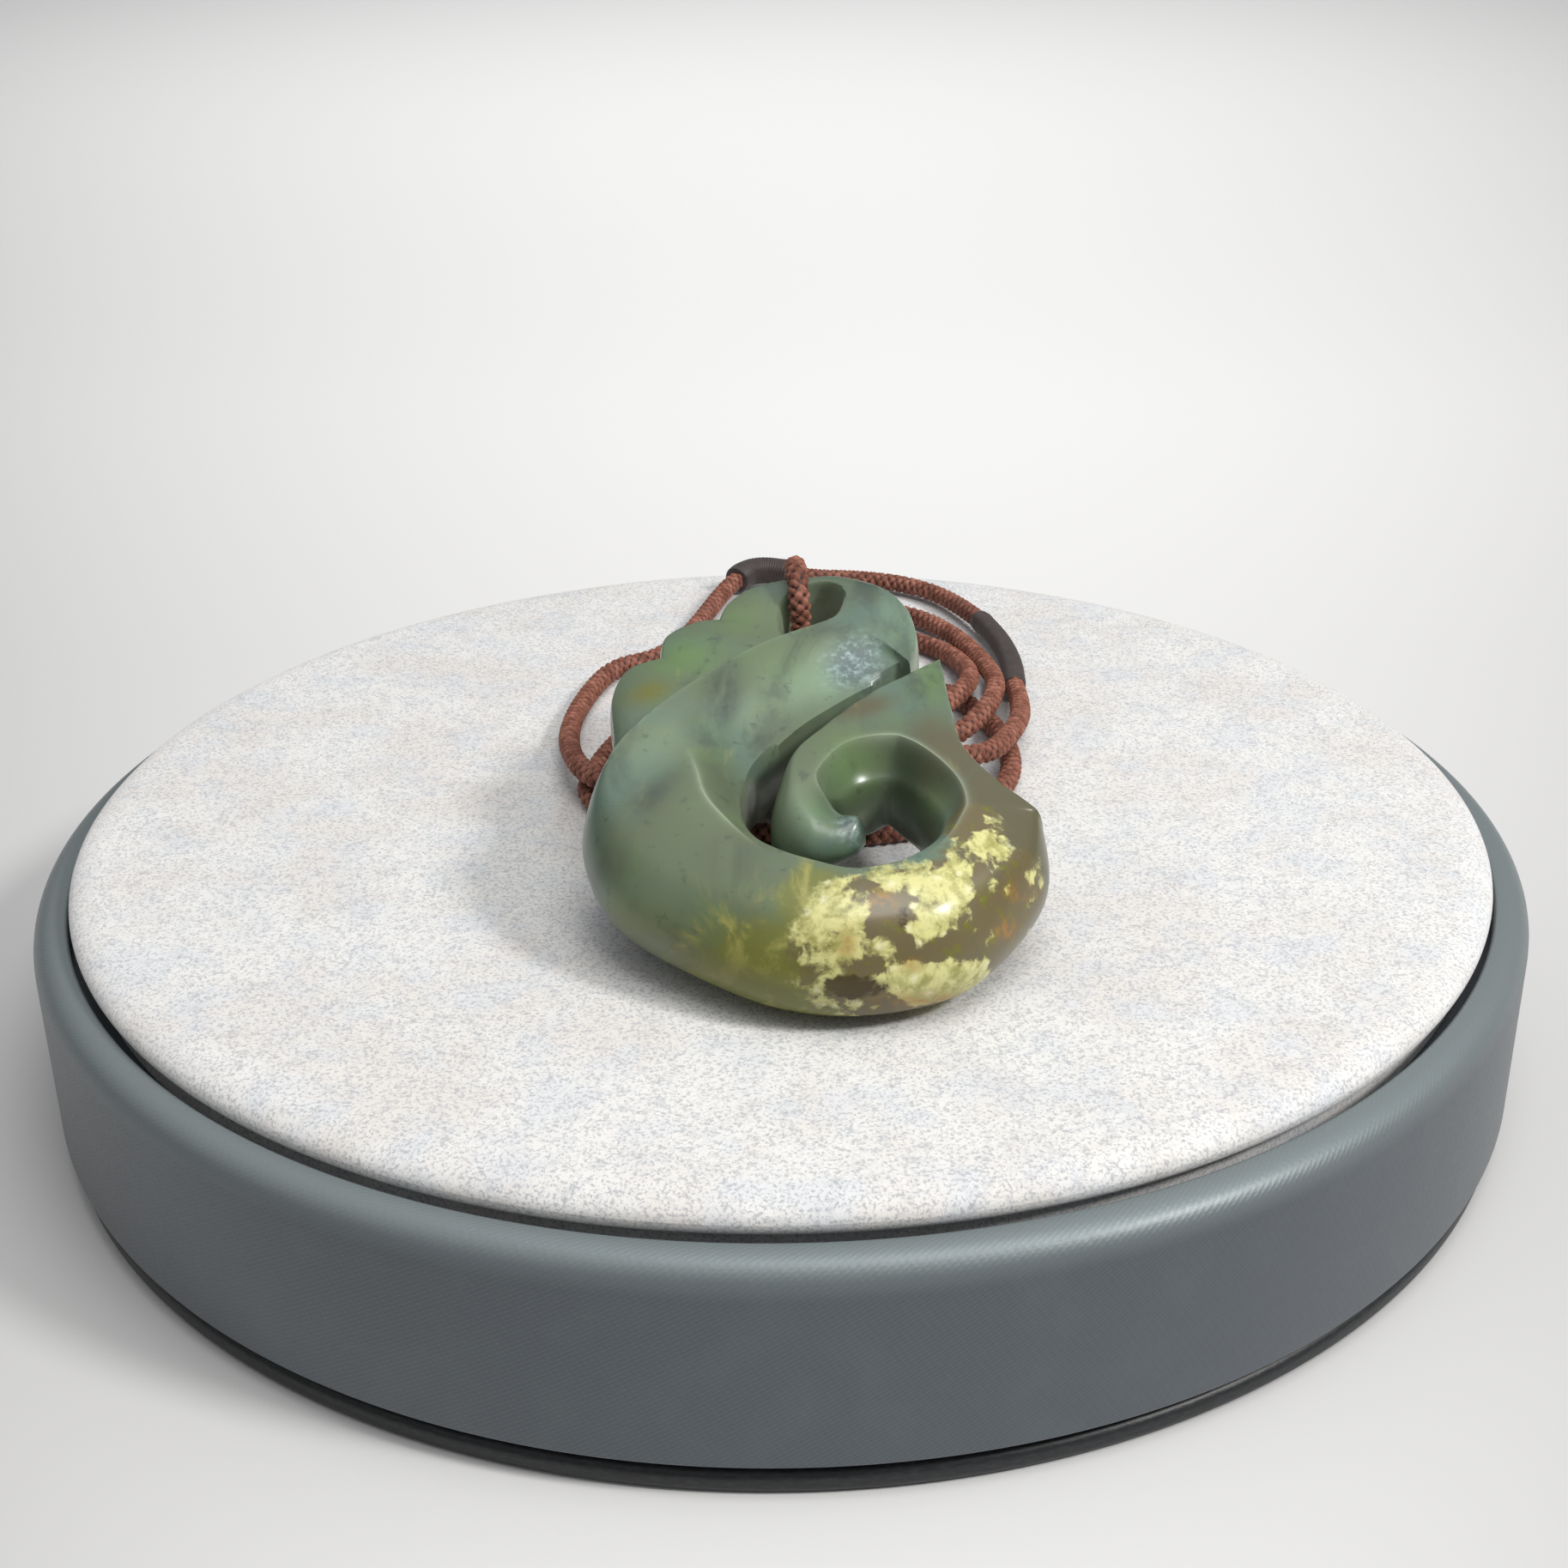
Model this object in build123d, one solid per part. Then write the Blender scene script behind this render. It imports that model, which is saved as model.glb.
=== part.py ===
"""A carved greenstone manaia pendant on its cord, lying on a round display stand.

Millimetres, +Z up. The origin is the centre of the stand's underside, +X is to the right and
+Y is away from the viewer. The pendant has a frame of its own: x across it, y from its bottom
end to its head, and z out of its face, with zero halfway through its thickness.
"""
from build123d import *
import math
import os

import numpy as np

# Stand
STAND_DIAMETER = 135.0
STAND_HEIGHT = 19.95
RIM_WIDTH = 3.1
RIM_ROUNDING = 2.2
FOOT_HEIGHT = 2.0
FOOT_INSET = 0.6
GROOVE_HEIGHT = 0.9
GROOVE_DEPTH = 2.0

# Pad let into the top of the stand
PAD_THICKNESS = 5.4
PAD_PROUD = 2.64
PAD_GAP = 0.25
PAD_ROUNDING = 2.0
ROUNDING_LIMIT = 0.8

# Pendant
PENDANT_WIDTH = 37.24
PENDANT_LENGTH = 52.62
PENDANT_THICKNESS = 9.1
PENDANT_TILT = 12.0
PENDANT_BOTTOM_X = 2.64
PENDANT_BOTTOM_Y = -43.94
PENDANT_CLEARANCE = 1.25
STATIONS_PER_ROW = 3
COLUMNS_INSIDE_FOLD = 4
COLUMNS_OUTSIDE_FOLD = 6
BACK_ROUNDING_EXTRA = 0.03
FOLD_LOWEST = 0.12
FOLD_HIGHEST = 0.97
RIGHT_ROUND_LIMIT = 0.5
LEFT_ROUND_LIMIT = 0.6
BACK_ROUND_LIMIT = 0.10
WELD_DISTANCE = 0.01

# Cord
CORD_DIAMETER = 2.1
FILLET_SHARE = 0.45
RIGHT_WHIPPING_DIAMETER = 2.9
LEFT_WHIPPING_DIAMETER = 3.4
WHIPPING_BORE_GAP = 0.08
WHIPPING_END_GAP = 0.15

BASE_BOTTOM = FOOT_HEIGHT + GROOVE_HEIGHT
PAD_TOP = STAND_HEIGHT + PAD_PROUD
PAD_BOTTOM = PAD_TOP - PAD_THICKNESS
STAND_RADIUS = STAND_DIAMETER / 2
WELL_RADIUS = STAND_RADIUS - RIM_WIDTH

# Sections of the pendant, in order along the carved band: from the tongue round the hook and
# its barb, down the right side, round the bottom, up the left side, along the band to the beak,
# round the eye, and back down the scalloped head to the point where it meets the left side.
# Each section runs from the right-hand edge of the band (seen along its way) to the left-hand one.
# left_x, right_x: hundredths of the width from the middle; left_y, right_y: hundredths of the
# length from the bottom. left_height, right_height, crown, scoop and back: shares of half the
# thickness, up from the middle plane at each edge, added halfway, cut away at the right-hand edge
# and down to the back. fold: where the scoop ends, in hundredths of the width. soft: how gently
# the scoop fades out. left_round, right_round: edge roundings as shares of the thickness.
# left_point, right_point: 1 where the outline has a corner.
COLUMNS = (
    "left_x", "left_y", "right_x", "right_y", "left_height", "right_height", "crown", "fold",
    "scoop", "soft", "left_round", "right_round", "back", "left_point", "right_point",
)
SECTIONS = (
    ("tongue_tip",  11.3, 28.9,  11.4,  31.0,  0.22,  0.22,  0.00,  4.0, 0.00, 0.0, 0.02, 0.02, -0.1, 0, 0),
    ("tongue_end",   9.4, 26.8,   9.9,  33.2,  0.44,  0.44,  0.16,  4.0, 0.00, 0.0, 0.22, 0.22, 0.00, 0, 0),
    ("tongue",       5.0, 25.2,   6.4,  34.4,  0.48,  0.42,  0.14,  4.0, 0.05, 0.0, 0.24, 0.12, 0.08, 0, 0),
    ("koru_low",    -2.2, 25.6,   4.6,  36.8,  0.68,  0.50,  0.14,  3.2, 0.22, 0.0, 0.30, 0.08, 0.32, 0, 0),
    ("koru_left",   -8.9, 32.2,   5.2,  38.2,  0.80,  0.72,  0.12,  4.6, 0.48, 0.0, 0.26, 0.08, 0.80, 0, 0),
    ("koru_up",     -6.0, 43.2,   7.8,  38.8,  0.88,  0.88,  0.04,  6.0, 0.66, 0.0, 0.10, 0.08, 1.00, 0, 0),
    ("koru_top",     2.2, 51.6,  10.9,  41.2,  0.90,  0.92,  0.03,  7.0, 0.70, 0.0, 0.08, 0.08, 1.00, 0, 0),
    ("barb_left",   15.1, 61.3,  13.8,  42.4,  0.90,  0.94,  0.00,  7.4, 0.72, 0.0, 0.06, 0.08, 1.00, 0, 0),
    ("barb_tip",    31.1, 71.0,  16.8,  42.8,  0.82,  0.95,  0.00,  7.2, 0.72, 0.0, 0.05, 0.08, 0.85, 1, 0),
    ("barb_right",  32.2, 57.2,  19.9,  41.2,  0.92,  0.97,  0.00,  6.6, 0.70, 0.0, 0.06, 0.08, 1.00, 0, 0),
    ("waist",       34.6, 45.4,  23.0,  37.8,  0.92,  0.98,  0.00,  6.6, 0.62, 0.0, 0.08, 0.08, 1.00, 0, 0),
    ("shoulder",    42.2, 36.4,  24.9,  32.6,  0.85,  1.00,  0.03,  7.4, 0.48, 0.1, 0.10, 0.10, 1.00, 0, 0),
    ("corner",      49.8, 30.8,  25.6,  27.2,  0.62,  1.00,  0.12,  6.6, 0.26, 0.3, 0.10, 0.10, 1.00, 1, 0),
    ("right_low",   49.6, 22.6,  24.0,  21.4,  0.34,  1.00,  0.24,  4.0, 0.08, 0.0, 0.24, 0.08, 1.00, 0, 0),
    ("bottom_r1",   40.3, 11.6,  18.6,  17.4,  0.18,  0.98,  0.28,  4.0, 0.00, 0.0, 0.36, 0.07, 1.00, 0, 0),
    ("bottom_r2",   28.8,  3.7,  12.9,  15.9,  0.22,  0.97,  0.26,  4.0, 0.00, 0.0, 0.36, 0.06, 1.00, 0, 0),
    ("bottom",       9.6,  0.0,   7.3,  15.6,  0.20,  0.96,  0.26,  4.0, 0.00, 0.0, 0.38, 0.06, 1.00, 0, 0),
    ("bottom_l1",   -9.9,  2.3,   1.2,  17.4,  0.16,  0.94,  0.26,  4.0, 0.00, 0.0, 0.40, 0.06, 1.00, 0, 0),
    ("bottom_l2",  -29.3, 10.9,  -6.0,  20.4,  0.16,  0.88,  0.27,  4.0, 0.00, 0.0, 0.40, 0.06, 1.00, 0, 0),
    ("left_low",   -42.9, 20.0, -11.4,  25.4,  0.24,  0.82,  0.28,  4.2, 0.12, 0.0, 0.38, 0.06, 1.00, 0, 0),
    ("left",       -49.4, 30.6, -14.1,  32.6,  0.38,  0.90,  0.26,  8.4, 0.40, 0.1, 0.34, 0.06, 1.00, 0, 0),
    ("left_up",    -49.2, 38.6, -13.8,  39.4,  0.66,  0.94,  0.14, 11.2, 0.46, 0.5, 0.20, 0.06, 1.00, 0, 0),
    ("seam_end",   -45.2, 44.1, -12.4,  44.3,  0.88,  0.94,  0.02, 14.5, 0.46, 0.9, 0.06, 0.06, 1.00, 0, 0),
    ("band_1",     -40.7, 49.8,  -8.9,  48.4,  0.96,  0.92, -0.02, 19.5, 0.42, 1.3, 0.04, 0.06, 1.00, 0, 0),
    ("band_2",     -35.4, 55.6,  -4.7,  52.4,  0.98,  0.90, -0.03, 25.0, 0.40, 1.5, 0.04, 0.06, 1.00, 0, 0),
    ("band_3",     -29.0, 61.5,   0.0,  56.2,  0.98,  0.90, -0.03, 28.0, 0.38, 1.5, 0.04, 0.06, 1.00, 0, 0),
    ("band_4",     -21.5, 67.3,   5.2,  60.0,  0.98,  0.90, -0.03, 27.5, 0.38, 1.5, 0.04, 0.06, 1.00, 0, 0),
    ("band_5",     -12.9, 73.3,  10.8,  63.9,  0.98,  0.90, -0.03, 26.0, 0.38, 1.5, 0.04, 0.06, 1.00, 0, 0),
    ("seam_start",  -5.2, 77.1,  15.9,  67.1,  0.98,  0.90, -0.02, 23.0, 0.36, 1.5, 0.04, 0.06, 1.00, 0, 0),
    ("beak",         4.7, 81.8,  21.5,  69.7,  0.96,  0.90,  0.00, 18.0, 0.20, 1.1, 0.05, 0.06, 1.00, 0, 0),
    ("beak_end",     7.2, 85.0,  24.2,  68.6,  0.94,  0.88,  0.02, 12.0, 0.04, 0.6, 0.06, 0.06, 0.98, 0, 1),
    ("beak_lip",     8.0, 88.0,  26.3,  74.6,  0.92,  0.84,  0.05,  6.0, 0.00, 0.0, 0.07, 0.06, 0.97, 0, 0),
    ("ring_r1",      8.1, 90.4,  26.7,  80.0,  0.90,  0.78,  0.08,  4.0, 0.00, 0.0, 0.08, 0.08, 0.96, 0, 0),
    ("ring_r2",      7.6, 92.4,  25.4,  86.6,  0.85,  0.74,  0.10,  4.0, 0.00, 0.0, 0.08, 0.08, 0.94, 0, 0),
    ("ring_r3",      6.2, 94.2,  20.2,  93.8,  0.80,  0.70,  0.09,  4.0, 0.00, 0.0, 0.08, 0.08, 0.92, 0, 0),
    ("ring_top",     3.2, 95.4,   8.8,  99.3,  0.72,  0.64,  0.06,  2.5, 0.00, 0.0, 0.08, 0.08, 0.90, 0, 0),
    ("ring_l1",     -0.2, 95.2,  -2.9, 100.0,  0.62,  0.56,  0.06,  2.5, 0.00, 0.0, 0.08, 0.08, 0.88, 0, 0),
    ("ring_l2",     -3.2, 93.8, -13.3,  99.0,  0.52,  0.46,  0.08,  4.0, 0.00, 0.0, 0.08, 0.08, 0.86, 0, 0),
    ("ring_l3",     -5.0, 91.2, -20.2,  94.8,  0.45,  0.36,  0.10,  4.0, 0.00, 0.0, 0.07, 0.07, 0.84, 0, 0),
    ("notch_1",     -5.6, 87.2, -22.4,  90.4,  0.40,  0.29,  0.07,  4.0, 0.00, 0.0, 0.07, 0.07, 0.84, 0, 1),
    ("lobe_2a",     -5.2, 77.1, -28.2,  90.4,  0.40,  0.26,  0.10,  4.0, 0.00, 0.0, 0.04, 0.07, 0.84, 0, 0),
    ("lobe_2b",    -12.9, 73.3, -35.2,  86.9,  0.38,  0.18,  0.12,  4.0, 0.00, 0.0, 0.04, 0.07, 0.84, 0, 0),
    ("notch_2",    -21.5, 67.3, -35.9,  80.8,  0.34,  0.16,  0.08,  4.0, 0.00, 0.0, 0.04, 0.07, 0.84, 0, 1),
    ("lobe_3a",    -29.0, 61.5, -43.6,  78.3,  0.28,  0.08,  0.12,  4.0, 0.00, 0.0, 0.04, 0.07, 0.86, 0, 0),
    ("lobe_3b",    -35.4, 55.6, -46.8,  70.3,  0.20,  0.02,  0.12,  4.0, 0.00, 0.0, 0.04, 0.07, 0.88, 0, 0),
    ("lobe_3c",    -40.7, 49.8, -45.4,  58.0,  0.12, -0.05,  0.08,  4.0, 0.00, 0.0, 0.04, 0.07, 0.92, 0, 0),
    ("tail",       -45.2, 44.1, -45.2,  44.1,  0.00, -0.10,  0.00,  4.0, 0.00, 0.0, 0.04, 0.07, 1.00, 0, 0),
)

# Points of the cord's route: x, y and height over the pad. It starts at the near end of the right
# whipping, passes under the pendant in loose turns, climbs behind the head, goes over the ring and
# down through the eye, and comes round again to the far end of the same whipping.
CORD_ROUTE = (
    (24.2, 22.0, 1.75),
    (24.3, 15.2, 2.2),
    (22.9, 7.2, 3.3),
    (19.0, -2.0, 4.3),
    (11.8, -4.4, 6.2),
    (4.4, -5.0, 6.9),
    (-2.8, -5.2, 6.6),
    (-8.6, -1.4, 4.9),
    (-11.6, 7.6, 3.5),
    (-11.0, 17.5, 3.5),
    (-9.0, 27.5, 3.5),
    (-4.2, 34.6, 3.6),
    (2.6, 36.0, 3.9),
    (6.0, 27.8, 5.0),
    (4.9, 20.6, 7.6),
    (3.2, 14.8, 11.2),
    (1.9, 9.7, 15.0),
    (1.6, 8.3, 20.25),
    (1.9, 3.0, 20.25),
    (2.2, 2.2, 15.2),
    (2.5, 3.2, 10.7),
    (2.8, 6.2, 7.0),
    (3.8, 12.6, 3.9),
    (6.6, 20.4, 1.6),
    (12.0, 24.6, 1.15),
    (17.6, 21.6, 1.15),
    (20.9, 14.6, 1.15),
    (22.5, 6.6, 1.15),
    (21.2, -2.2, 1.15),
    (15.0, -9.2, 1.15),
    (5.0, -11.8, 1.15),
    (-6.0, -10.0, 1.15),
    (-13.8, -6.9, 1.15),
    (-18.3, -2.6, 1.15),
    (-17.3, 5.2, 1.15),
    (-14.4, 14.0, 1.15),
    (-13.4, 24.0, 1.15),
    (-8.2, 34.8, 1.15),
    (-1.6, 43.2, 1.15),
    (7.5, 47.4, 1.15),
    (15.2, 44.6, 1.15),
    (19.3, 37.2, 1.4),
    (21.4, 27.6, 2.2),
    (22.3, 17.8, 3.4),
    (19.3, 8.4, 3.5),
    (12.8, 2.2, 2.4),
    (4.0, -3.4, 1.15),
    (-5.0, -4.2, 1.15),
    (-10.8, 2.2, 1.15),
    (-11.0, 12.5, 1.15),
    (-9.4, 23.5, 1.15),
    (-4.6, 33.2, 1.15),
    (3.4, 38.6, 1.15),
    (11.8, 38.8, 1.15),
    (17.7, 33.8, 1.15),
    (19.7, 25.2, 2.3),
    (19.4, 17.4, 3.8),
    (14.6, 9.6, 3.5),
    (8.6, 2.8, 3.35),
    (1.5, -3.6, 3.35),
    (-6.0, -6.0, 3.35),
    (-12.8, -6.6, 3.6),
    (-17.6, -3.4, 3.6),
    (-20.0, 3.8, 3.0),
    (-20.8, 14.0, 1.4),
    (-19.6, 22.8, 1.15),
    (-17.4, 29.8, 1.15),
    (-13.2, 31.8, 1.15),
    (-10.3, 37.2, 1.15),
    (-8.0, 45.6, 1.3),
    (-5.7, 53.6, 1.7),
    (-2.6, 58.0, 2.3),
    (3.6, 55.4, 1.8),
    (9.4, 56.4, 1.3),
    (15.4, 54.0, 1.3),
    (20.2, 48.0, 1.4),
    (22.5, 40.2, 1.75),
)

# The left whipping wraps the bend at this point of the route.
LEFT_WHIPPING_POINT = 71


def eased(values, pointed, steps):
    """Carry the columns of a table smoothly from row to row, with a corner where a row is pointed."""
    slope = np.gradient(values, axis=0) * (1 - pointed)[:, None]
    s = np.linspace(0, 1, steps, endpoint=False)[None, :, None]
    start, end = values[:-1, None], values[1:, None]
    start_slope, end_slope = slope[:-1, None], slope[1:, None]
    curve = (
        (2 * s**3 - 3 * s**2 + 1) * start
        + (s**3 - 2 * s**2 + s) * start_slope
        + (3 * s**2 - 2 * s**3) * end
        + (s**3 - s**2) * end_slope
    )
    return np.concatenate([curve.reshape(-1, values.shape[1]), values[-1:]])


def rounded(distance, radius):
    """Height share of a quarter-round edge: 0 at the rim, 1 a radius inside it."""
    inside = np.clip(distance / np.maximum(radius, WELD_DISTANCE), 0, 1)
    return np.sqrt(1 - (1 - inside) ** 2)


def clustered(count):
    """Shares from 0 to 1 that lie closer together towards both ends."""
    return (1 - np.cos(np.pi * np.linspace(0, 1, count + 1))) / 2


def pendant_mesh(width, length, thickness):
    """Points and triangles of the carving, in its own frame.

    Every section of the band is a strip of front and back points between its two outlines. The
    band from the left side to the beak and the head behind it share one outline, on which the
    band stands up as a step.
    """
    names = [row[0] for row in SECTIONS]
    table = np.array([row[1:] for row in SECTIONS], float)
    column = {name: table[:, k] for k, name in enumerate(COLUMNS)}
    steps = STATIONS_PER_ROW
    outline_unit = np.array([width, length]) / 100
    half = thickness / 2

    left = eased(table[:, 0:2], column["left_point"], steps) * outline_unit
    right = eased(table[:, 2:4], column["right_point"], steps) * outline_unit
    plain = COLUMNS[4:13]
    smooth = eased(table[:, 4:13], np.zeros(len(table)), steps)
    value = {name: smooth[:, k] for k, name in enumerate(plain)}
    left_height = value["left_height"] * half
    right_height = value["right_height"] * half
    back = -value["back"] * half

    band_start = names.index("seam_end") * steps
    band_end = names.index("seam_start") * steps
    head_start = names.index("lobe_2a") * steps
    head_end = names.index("tail") * steps
    band = slice(band_start, band_end + 1)
    head = slice(head_start, head_end + 1)
    left[head] = left[band][::-1]
    back[head] = back[band][::-1]
    right[head_end] = left[head_end]
    seam = left_height[head]
    stations = len(left)

    span = np.hypot(*(left - right).T)
    fold = value["fold"] * width / 100 / np.maximum(span, WELD_DISTANCE)
    fold = np.clip(fold, FOLD_LOWEST, FOLD_HIGHEST)[:, None]
    inner = fold * clustered(COLUMNS_INSIDE_FOLD)
    outer = fold + (1 - fold) * clustered(COLUMNS_OUTSIDE_FOLD)[1:]
    across = np.concatenate([inner, outer], axis=1)
    plan = right[:, None] + (left - right)[:, None] * across[..., None]

    flat = right_height[:, None] + (left_height - right_height)[:, None] * across
    crown = (value["crown"] * half)[:, None] * 4 * across * (1 - across)
    scoop = (value["scoop"] * half)[:, None]
    hollow = scoop * (1 - np.clip(across / fold, 0, 1) ** 2) ** (1 + value["soft"][:, None])
    front = flat + crown - hollow

    from_right = across * span[:, None]
    from_left = (1 - across) * span[:, None]
    right_round = np.minimum(value["right_round"] * thickness, span * RIGHT_ROUND_LIMIT)[:, None]
    left_round = np.minimum(value["left_round"] * thickness, span * LEFT_ROUND_LIMIT)[:, None]
    extra = BACK_ROUNDING_EXTRA * thickness
    front_right = rounded(from_right, right_round)
    front_left = rounded(from_left, left_round)
    back_right = rounded(from_right, right_round + extra)
    back_left = rounded(from_left, np.minimum(left_round, BACK_ROUND_LIMIT * thickness) + extra)
    front_left[head] = 1
    back_left[head] = 1
    back_left[band] = 1

    middle_right = (right_height - scoop[:, 0] + back) / 2
    middle_left = (left_height + back) / 2
    rim_left = middle_left.copy()
    rim_left[band] = seam[::-1]
    front_rim = middle_right[:, None] + (rim_left - middle_right)[:, None] * across
    back_rim = middle_right[:, None] + (middle_left - middle_right)[:, None] * across
    front = front_rim + (front - front_rim) * front_right * front_left
    rear = back_rim + (back[:, None] - back_rim) * back_right * back_left

    front[:, 0] = middle_right
    rear[:, 0] = middle_right
    front[:, -1] = middle_left
    rear[:, -1] = middle_left
    front[band, -1] = seam[::-1]
    front[head, -1] = seam
    rear[band, -1] = back[band]
    rear[head, -1] = back[head]
    share = np.linspace(0, 1, across.shape[1])
    tail_middle = (seam[-1] + back[head_end]) / 2
    front[head_end] = tail_middle + (seam[-1] - tail_middle) * share
    rear[head_end] = tail_middle + (back[head_end] - tail_middle) * share

    points = np.concatenate([
        np.dstack([plan, front]).reshape(-1, 3),
        np.dstack([plan, rear]).reshape(-1, 3),
    ])
    columns = across.shape[1]
    last = columns - 1
    rear_start = stations * columns
    i, k = np.meshgrid(np.arange(stations - 1), np.arange(last), indexing="ij")
    corner = i * columns + k
    front_quads = np.stack([corner, corner + columns, corner + columns + 1, corner + 1], -1)
    front_quads = front_quads.reshape(-1, 4)
    rear_quads = front_quads[:, ::-1] + rear_start
    k = np.arange(last)
    tip_quads = np.stack([k, k + 1, rear_start + k + 1, rear_start + k], -1)
    quads = np.concatenate([front_quads, rear_quads, tip_quads])

    def front_rim_point(station):
        return station * columns + last

    def rear_rim_point(station):
        return rear_start + station * columns + last

    tail_chain = np.concatenate([
        head_end * columns + np.arange(last, -1, -1),
        rear_start + head_end * columns + np.arange(columns),
    ])
    apex = np.full(len(tail_chain) - 1, front_rim_point(band_start - 1))
    tail_fan = np.stack([apex, tail_chain[:-1], tail_chain[1:]], -1)
    seam_closers = np.array([
        [front_rim_point(band_end + 1), rear_rim_point(band_end), front_rim_point(band_end)],
        [front_rim_point(head_start - 1), front_rim_point(head_start), rear_rim_point(head_start)],
    ])
    triangles = np.concatenate([quads[:, [0, 1, 2]], quads[:, [0, 2, 3]], tail_fan, seam_closers])

    places = np.round(points / WELD_DISTANCE).astype(np.int64)
    _, first, welded = np.unique(places, axis=0, return_index=True, return_inverse=True)
    triangles = welded.reshape(-1)[triangles]
    a, b, c = triangles.T
    return points[first], triangles[(a != b) & (b != c) & (a != c)]


def laid_down(points):
    """Tilt the carving where it lies on the cord, its lowest point a little over the pad."""
    tilt = math.radians(PENDANT_TILT)
    x, y, z = points.T
    placed = np.stack([
        PENDANT_BOTTOM_X + x,
        PENDANT_BOTTOM_Y + y * math.cos(tilt) - z * math.sin(tilt),
        y * math.sin(tilt) + z * math.cos(tilt),
    ], -1)
    placed[:, 2] += PAD_TOP + PENDANT_CLEARANCE - placed[:, 2].min()
    return placed


def make_pendant():
    """The carved stone as one closed solid of flat facets."""
    points, triangles = pendant_mesh(PENDANT_WIDTH, PENDANT_LENGTH, PENDANT_THICKNESS)
    corners = [Vector(*map(float, point)) for point in laid_down(points)]
    facets = [
        Face(Wire.make_polygon([corners[a], corners[b], corners[c]], close=True))
        for a, b, c in triangles
    ]
    return Solid(Shell(facets))


def make_stand_foot():
    """Thin disc under the stand, with a neck that leaves a dark groove above it."""
    foot_radius = STAND_RADIUS - FOOT_INSET
    foot = Pos(0, 0, FOOT_HEIGHT / 2) * Cylinder(foot_radius, FOOT_HEIGHT)
    neck = Pos(0, 0, FOOT_HEIGHT + GROOVE_HEIGHT / 2) * Cylinder(
        STAND_RADIUS - GROOVE_DEPTH, GROOVE_HEIGHT
    )
    return foot + neck


def make_stand_base():
    """Round drum with a raised, rounded rim and a shallow well for the pad."""
    height = STAND_HEIGHT - BASE_BOTTOM
    drum = Pos(0, 0, BASE_BOTTOM + height / 2) * Cylinder(STAND_RADIUS, height)
    well_depth = STAND_HEIGHT - PAD_BOTTOM
    well = Pos(0, 0, PAD_BOTTOM + well_depth / 2) * Cylinder(WELL_RADIUS, well_depth)
    outer_edge = drum.edges().filter_by(GeomType.CIRCLE).sort_by(Axis.Z)[-1]
    return fillet(outer_edge, min(RIM_ROUNDING, ROUNDING_LIMIT * RIM_WIDTH)) - well


def make_stand_pad():
    """Padded disc in the well, standing proud of the rim with a soft edge."""
    pad = Pos(0, 0, PAD_BOTTOM + PAD_THICKNESS / 2) * Cylinder(WELL_RADIUS - PAD_GAP, PAD_THICKNESS)
    top_edge = pad.edges().filter_by(GeomType.CIRCLE).sort_by(Axis.Z)[-1]
    return fillet(top_edge, min(PAD_ROUNDING, ROUNDING_LIMIT * PAD_PROUD))


def route_points():
    """The cord's route with its heights taken from the top of the pad."""
    return [Vector(x, y, PAD_TOP + height) for x, y, height in CORD_ROUTE]


def corner_radii(points):
    """The largest arc that each corner of the route has room for."""
    radii = []
    for before, corner, after in zip(points, points[1:], points[2:]):
        shorter = min((corner - before).length, (after - corner).length)
        turn = math.radians((corner - before).get_angle(after - corner))
        radii.append(FILLET_SHARE * shorter / math.tan(turn / 2))
    return radii


def cord_path():
    """Straight runs joined by tangent arcs, along the whole loop."""
    points = route_points()
    radii = corner_radii(points)
    print("cord arc radii:", ", ".join(f"{radius:.1f}" for radius in radii))
    return FilletPolyline(*points, radius=radii)


def swept_round(path, radius):
    """A round section of the given radius carried along a path."""
    start = Plane(origin=path @ 0, z_dir=path % 0)
    return sweep(start * Circle(radius), path=path)


def make_cord(path):
    """The plaited cord as one plain tube along its whole route."""
    cord = swept_round(path, CORD_DIAMETER / 2)
    section = math.pi * CORD_DIAMETER**2 / 4
    print(f"cord length {path.length:.1f}, volume {cord.volume:.1f}, expected {section * path.length:.1f}")
    return cord


def make_right_whipping(path):
    """Whipping that holds both ends of the loop.

    It bends from the one end to the other on the arc that leaves the first in line with the cord.
    """
    start, end = path @ 1, path @ 0
    chord = end - start
    start = start + chord.normalized() * WHIPPING_END_GAP
    end = end - chord.normalized() * WHIPPING_END_GAP
    lean = math.radians((path % 1).get_angle(chord))
    sagitta = chord.length / 2 * math.tan(lean / 2)
    outwards = Vector(0, 0, 1).cross(chord).normalized()
    middle = (start + end) * 0.5 + outwards * sagitta
    return swept_round(ThreePointArc(start, middle, end), RIGHT_WHIPPING_DIAMETER / 2)


def make_left_whipping(path):
    """Whipping round the single strand behind the head, a sleeve that follows its bend."""
    corner = route_points()[LEFT_WHIPPING_POINT]
    edges = path.edges()
    nearest = min(range(len(edges)), key=lambda k: edges[k].distance_to(corner))
    stretch = Wire(edges[nearest - 1:nearest + 2])
    sleeve = swept_round(stretch, LEFT_WHIPPING_DIAMETER / 2)
    return sleeve - swept_round(stretch, CORD_DIAMETER / 2 + WHIPPING_BORE_GAP)


os.makedirs("parts", exist_ok=True)
cord_line = cord_path()
pieces = {
    "stand_foot": make_stand_foot(),
    "stand_base": make_stand_base(),
    "stand_pad": make_stand_pad(),
    "pendant": make_pendant(),
    "cord": make_cord(cord_line),
    "cord_whipping_right": make_right_whipping(cord_line),
    "cord_whipping_left": make_left_whipping(cord_line),
}
for name, piece in pieces.items():
    export_step(piece, f"parts/{name}.step")
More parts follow.
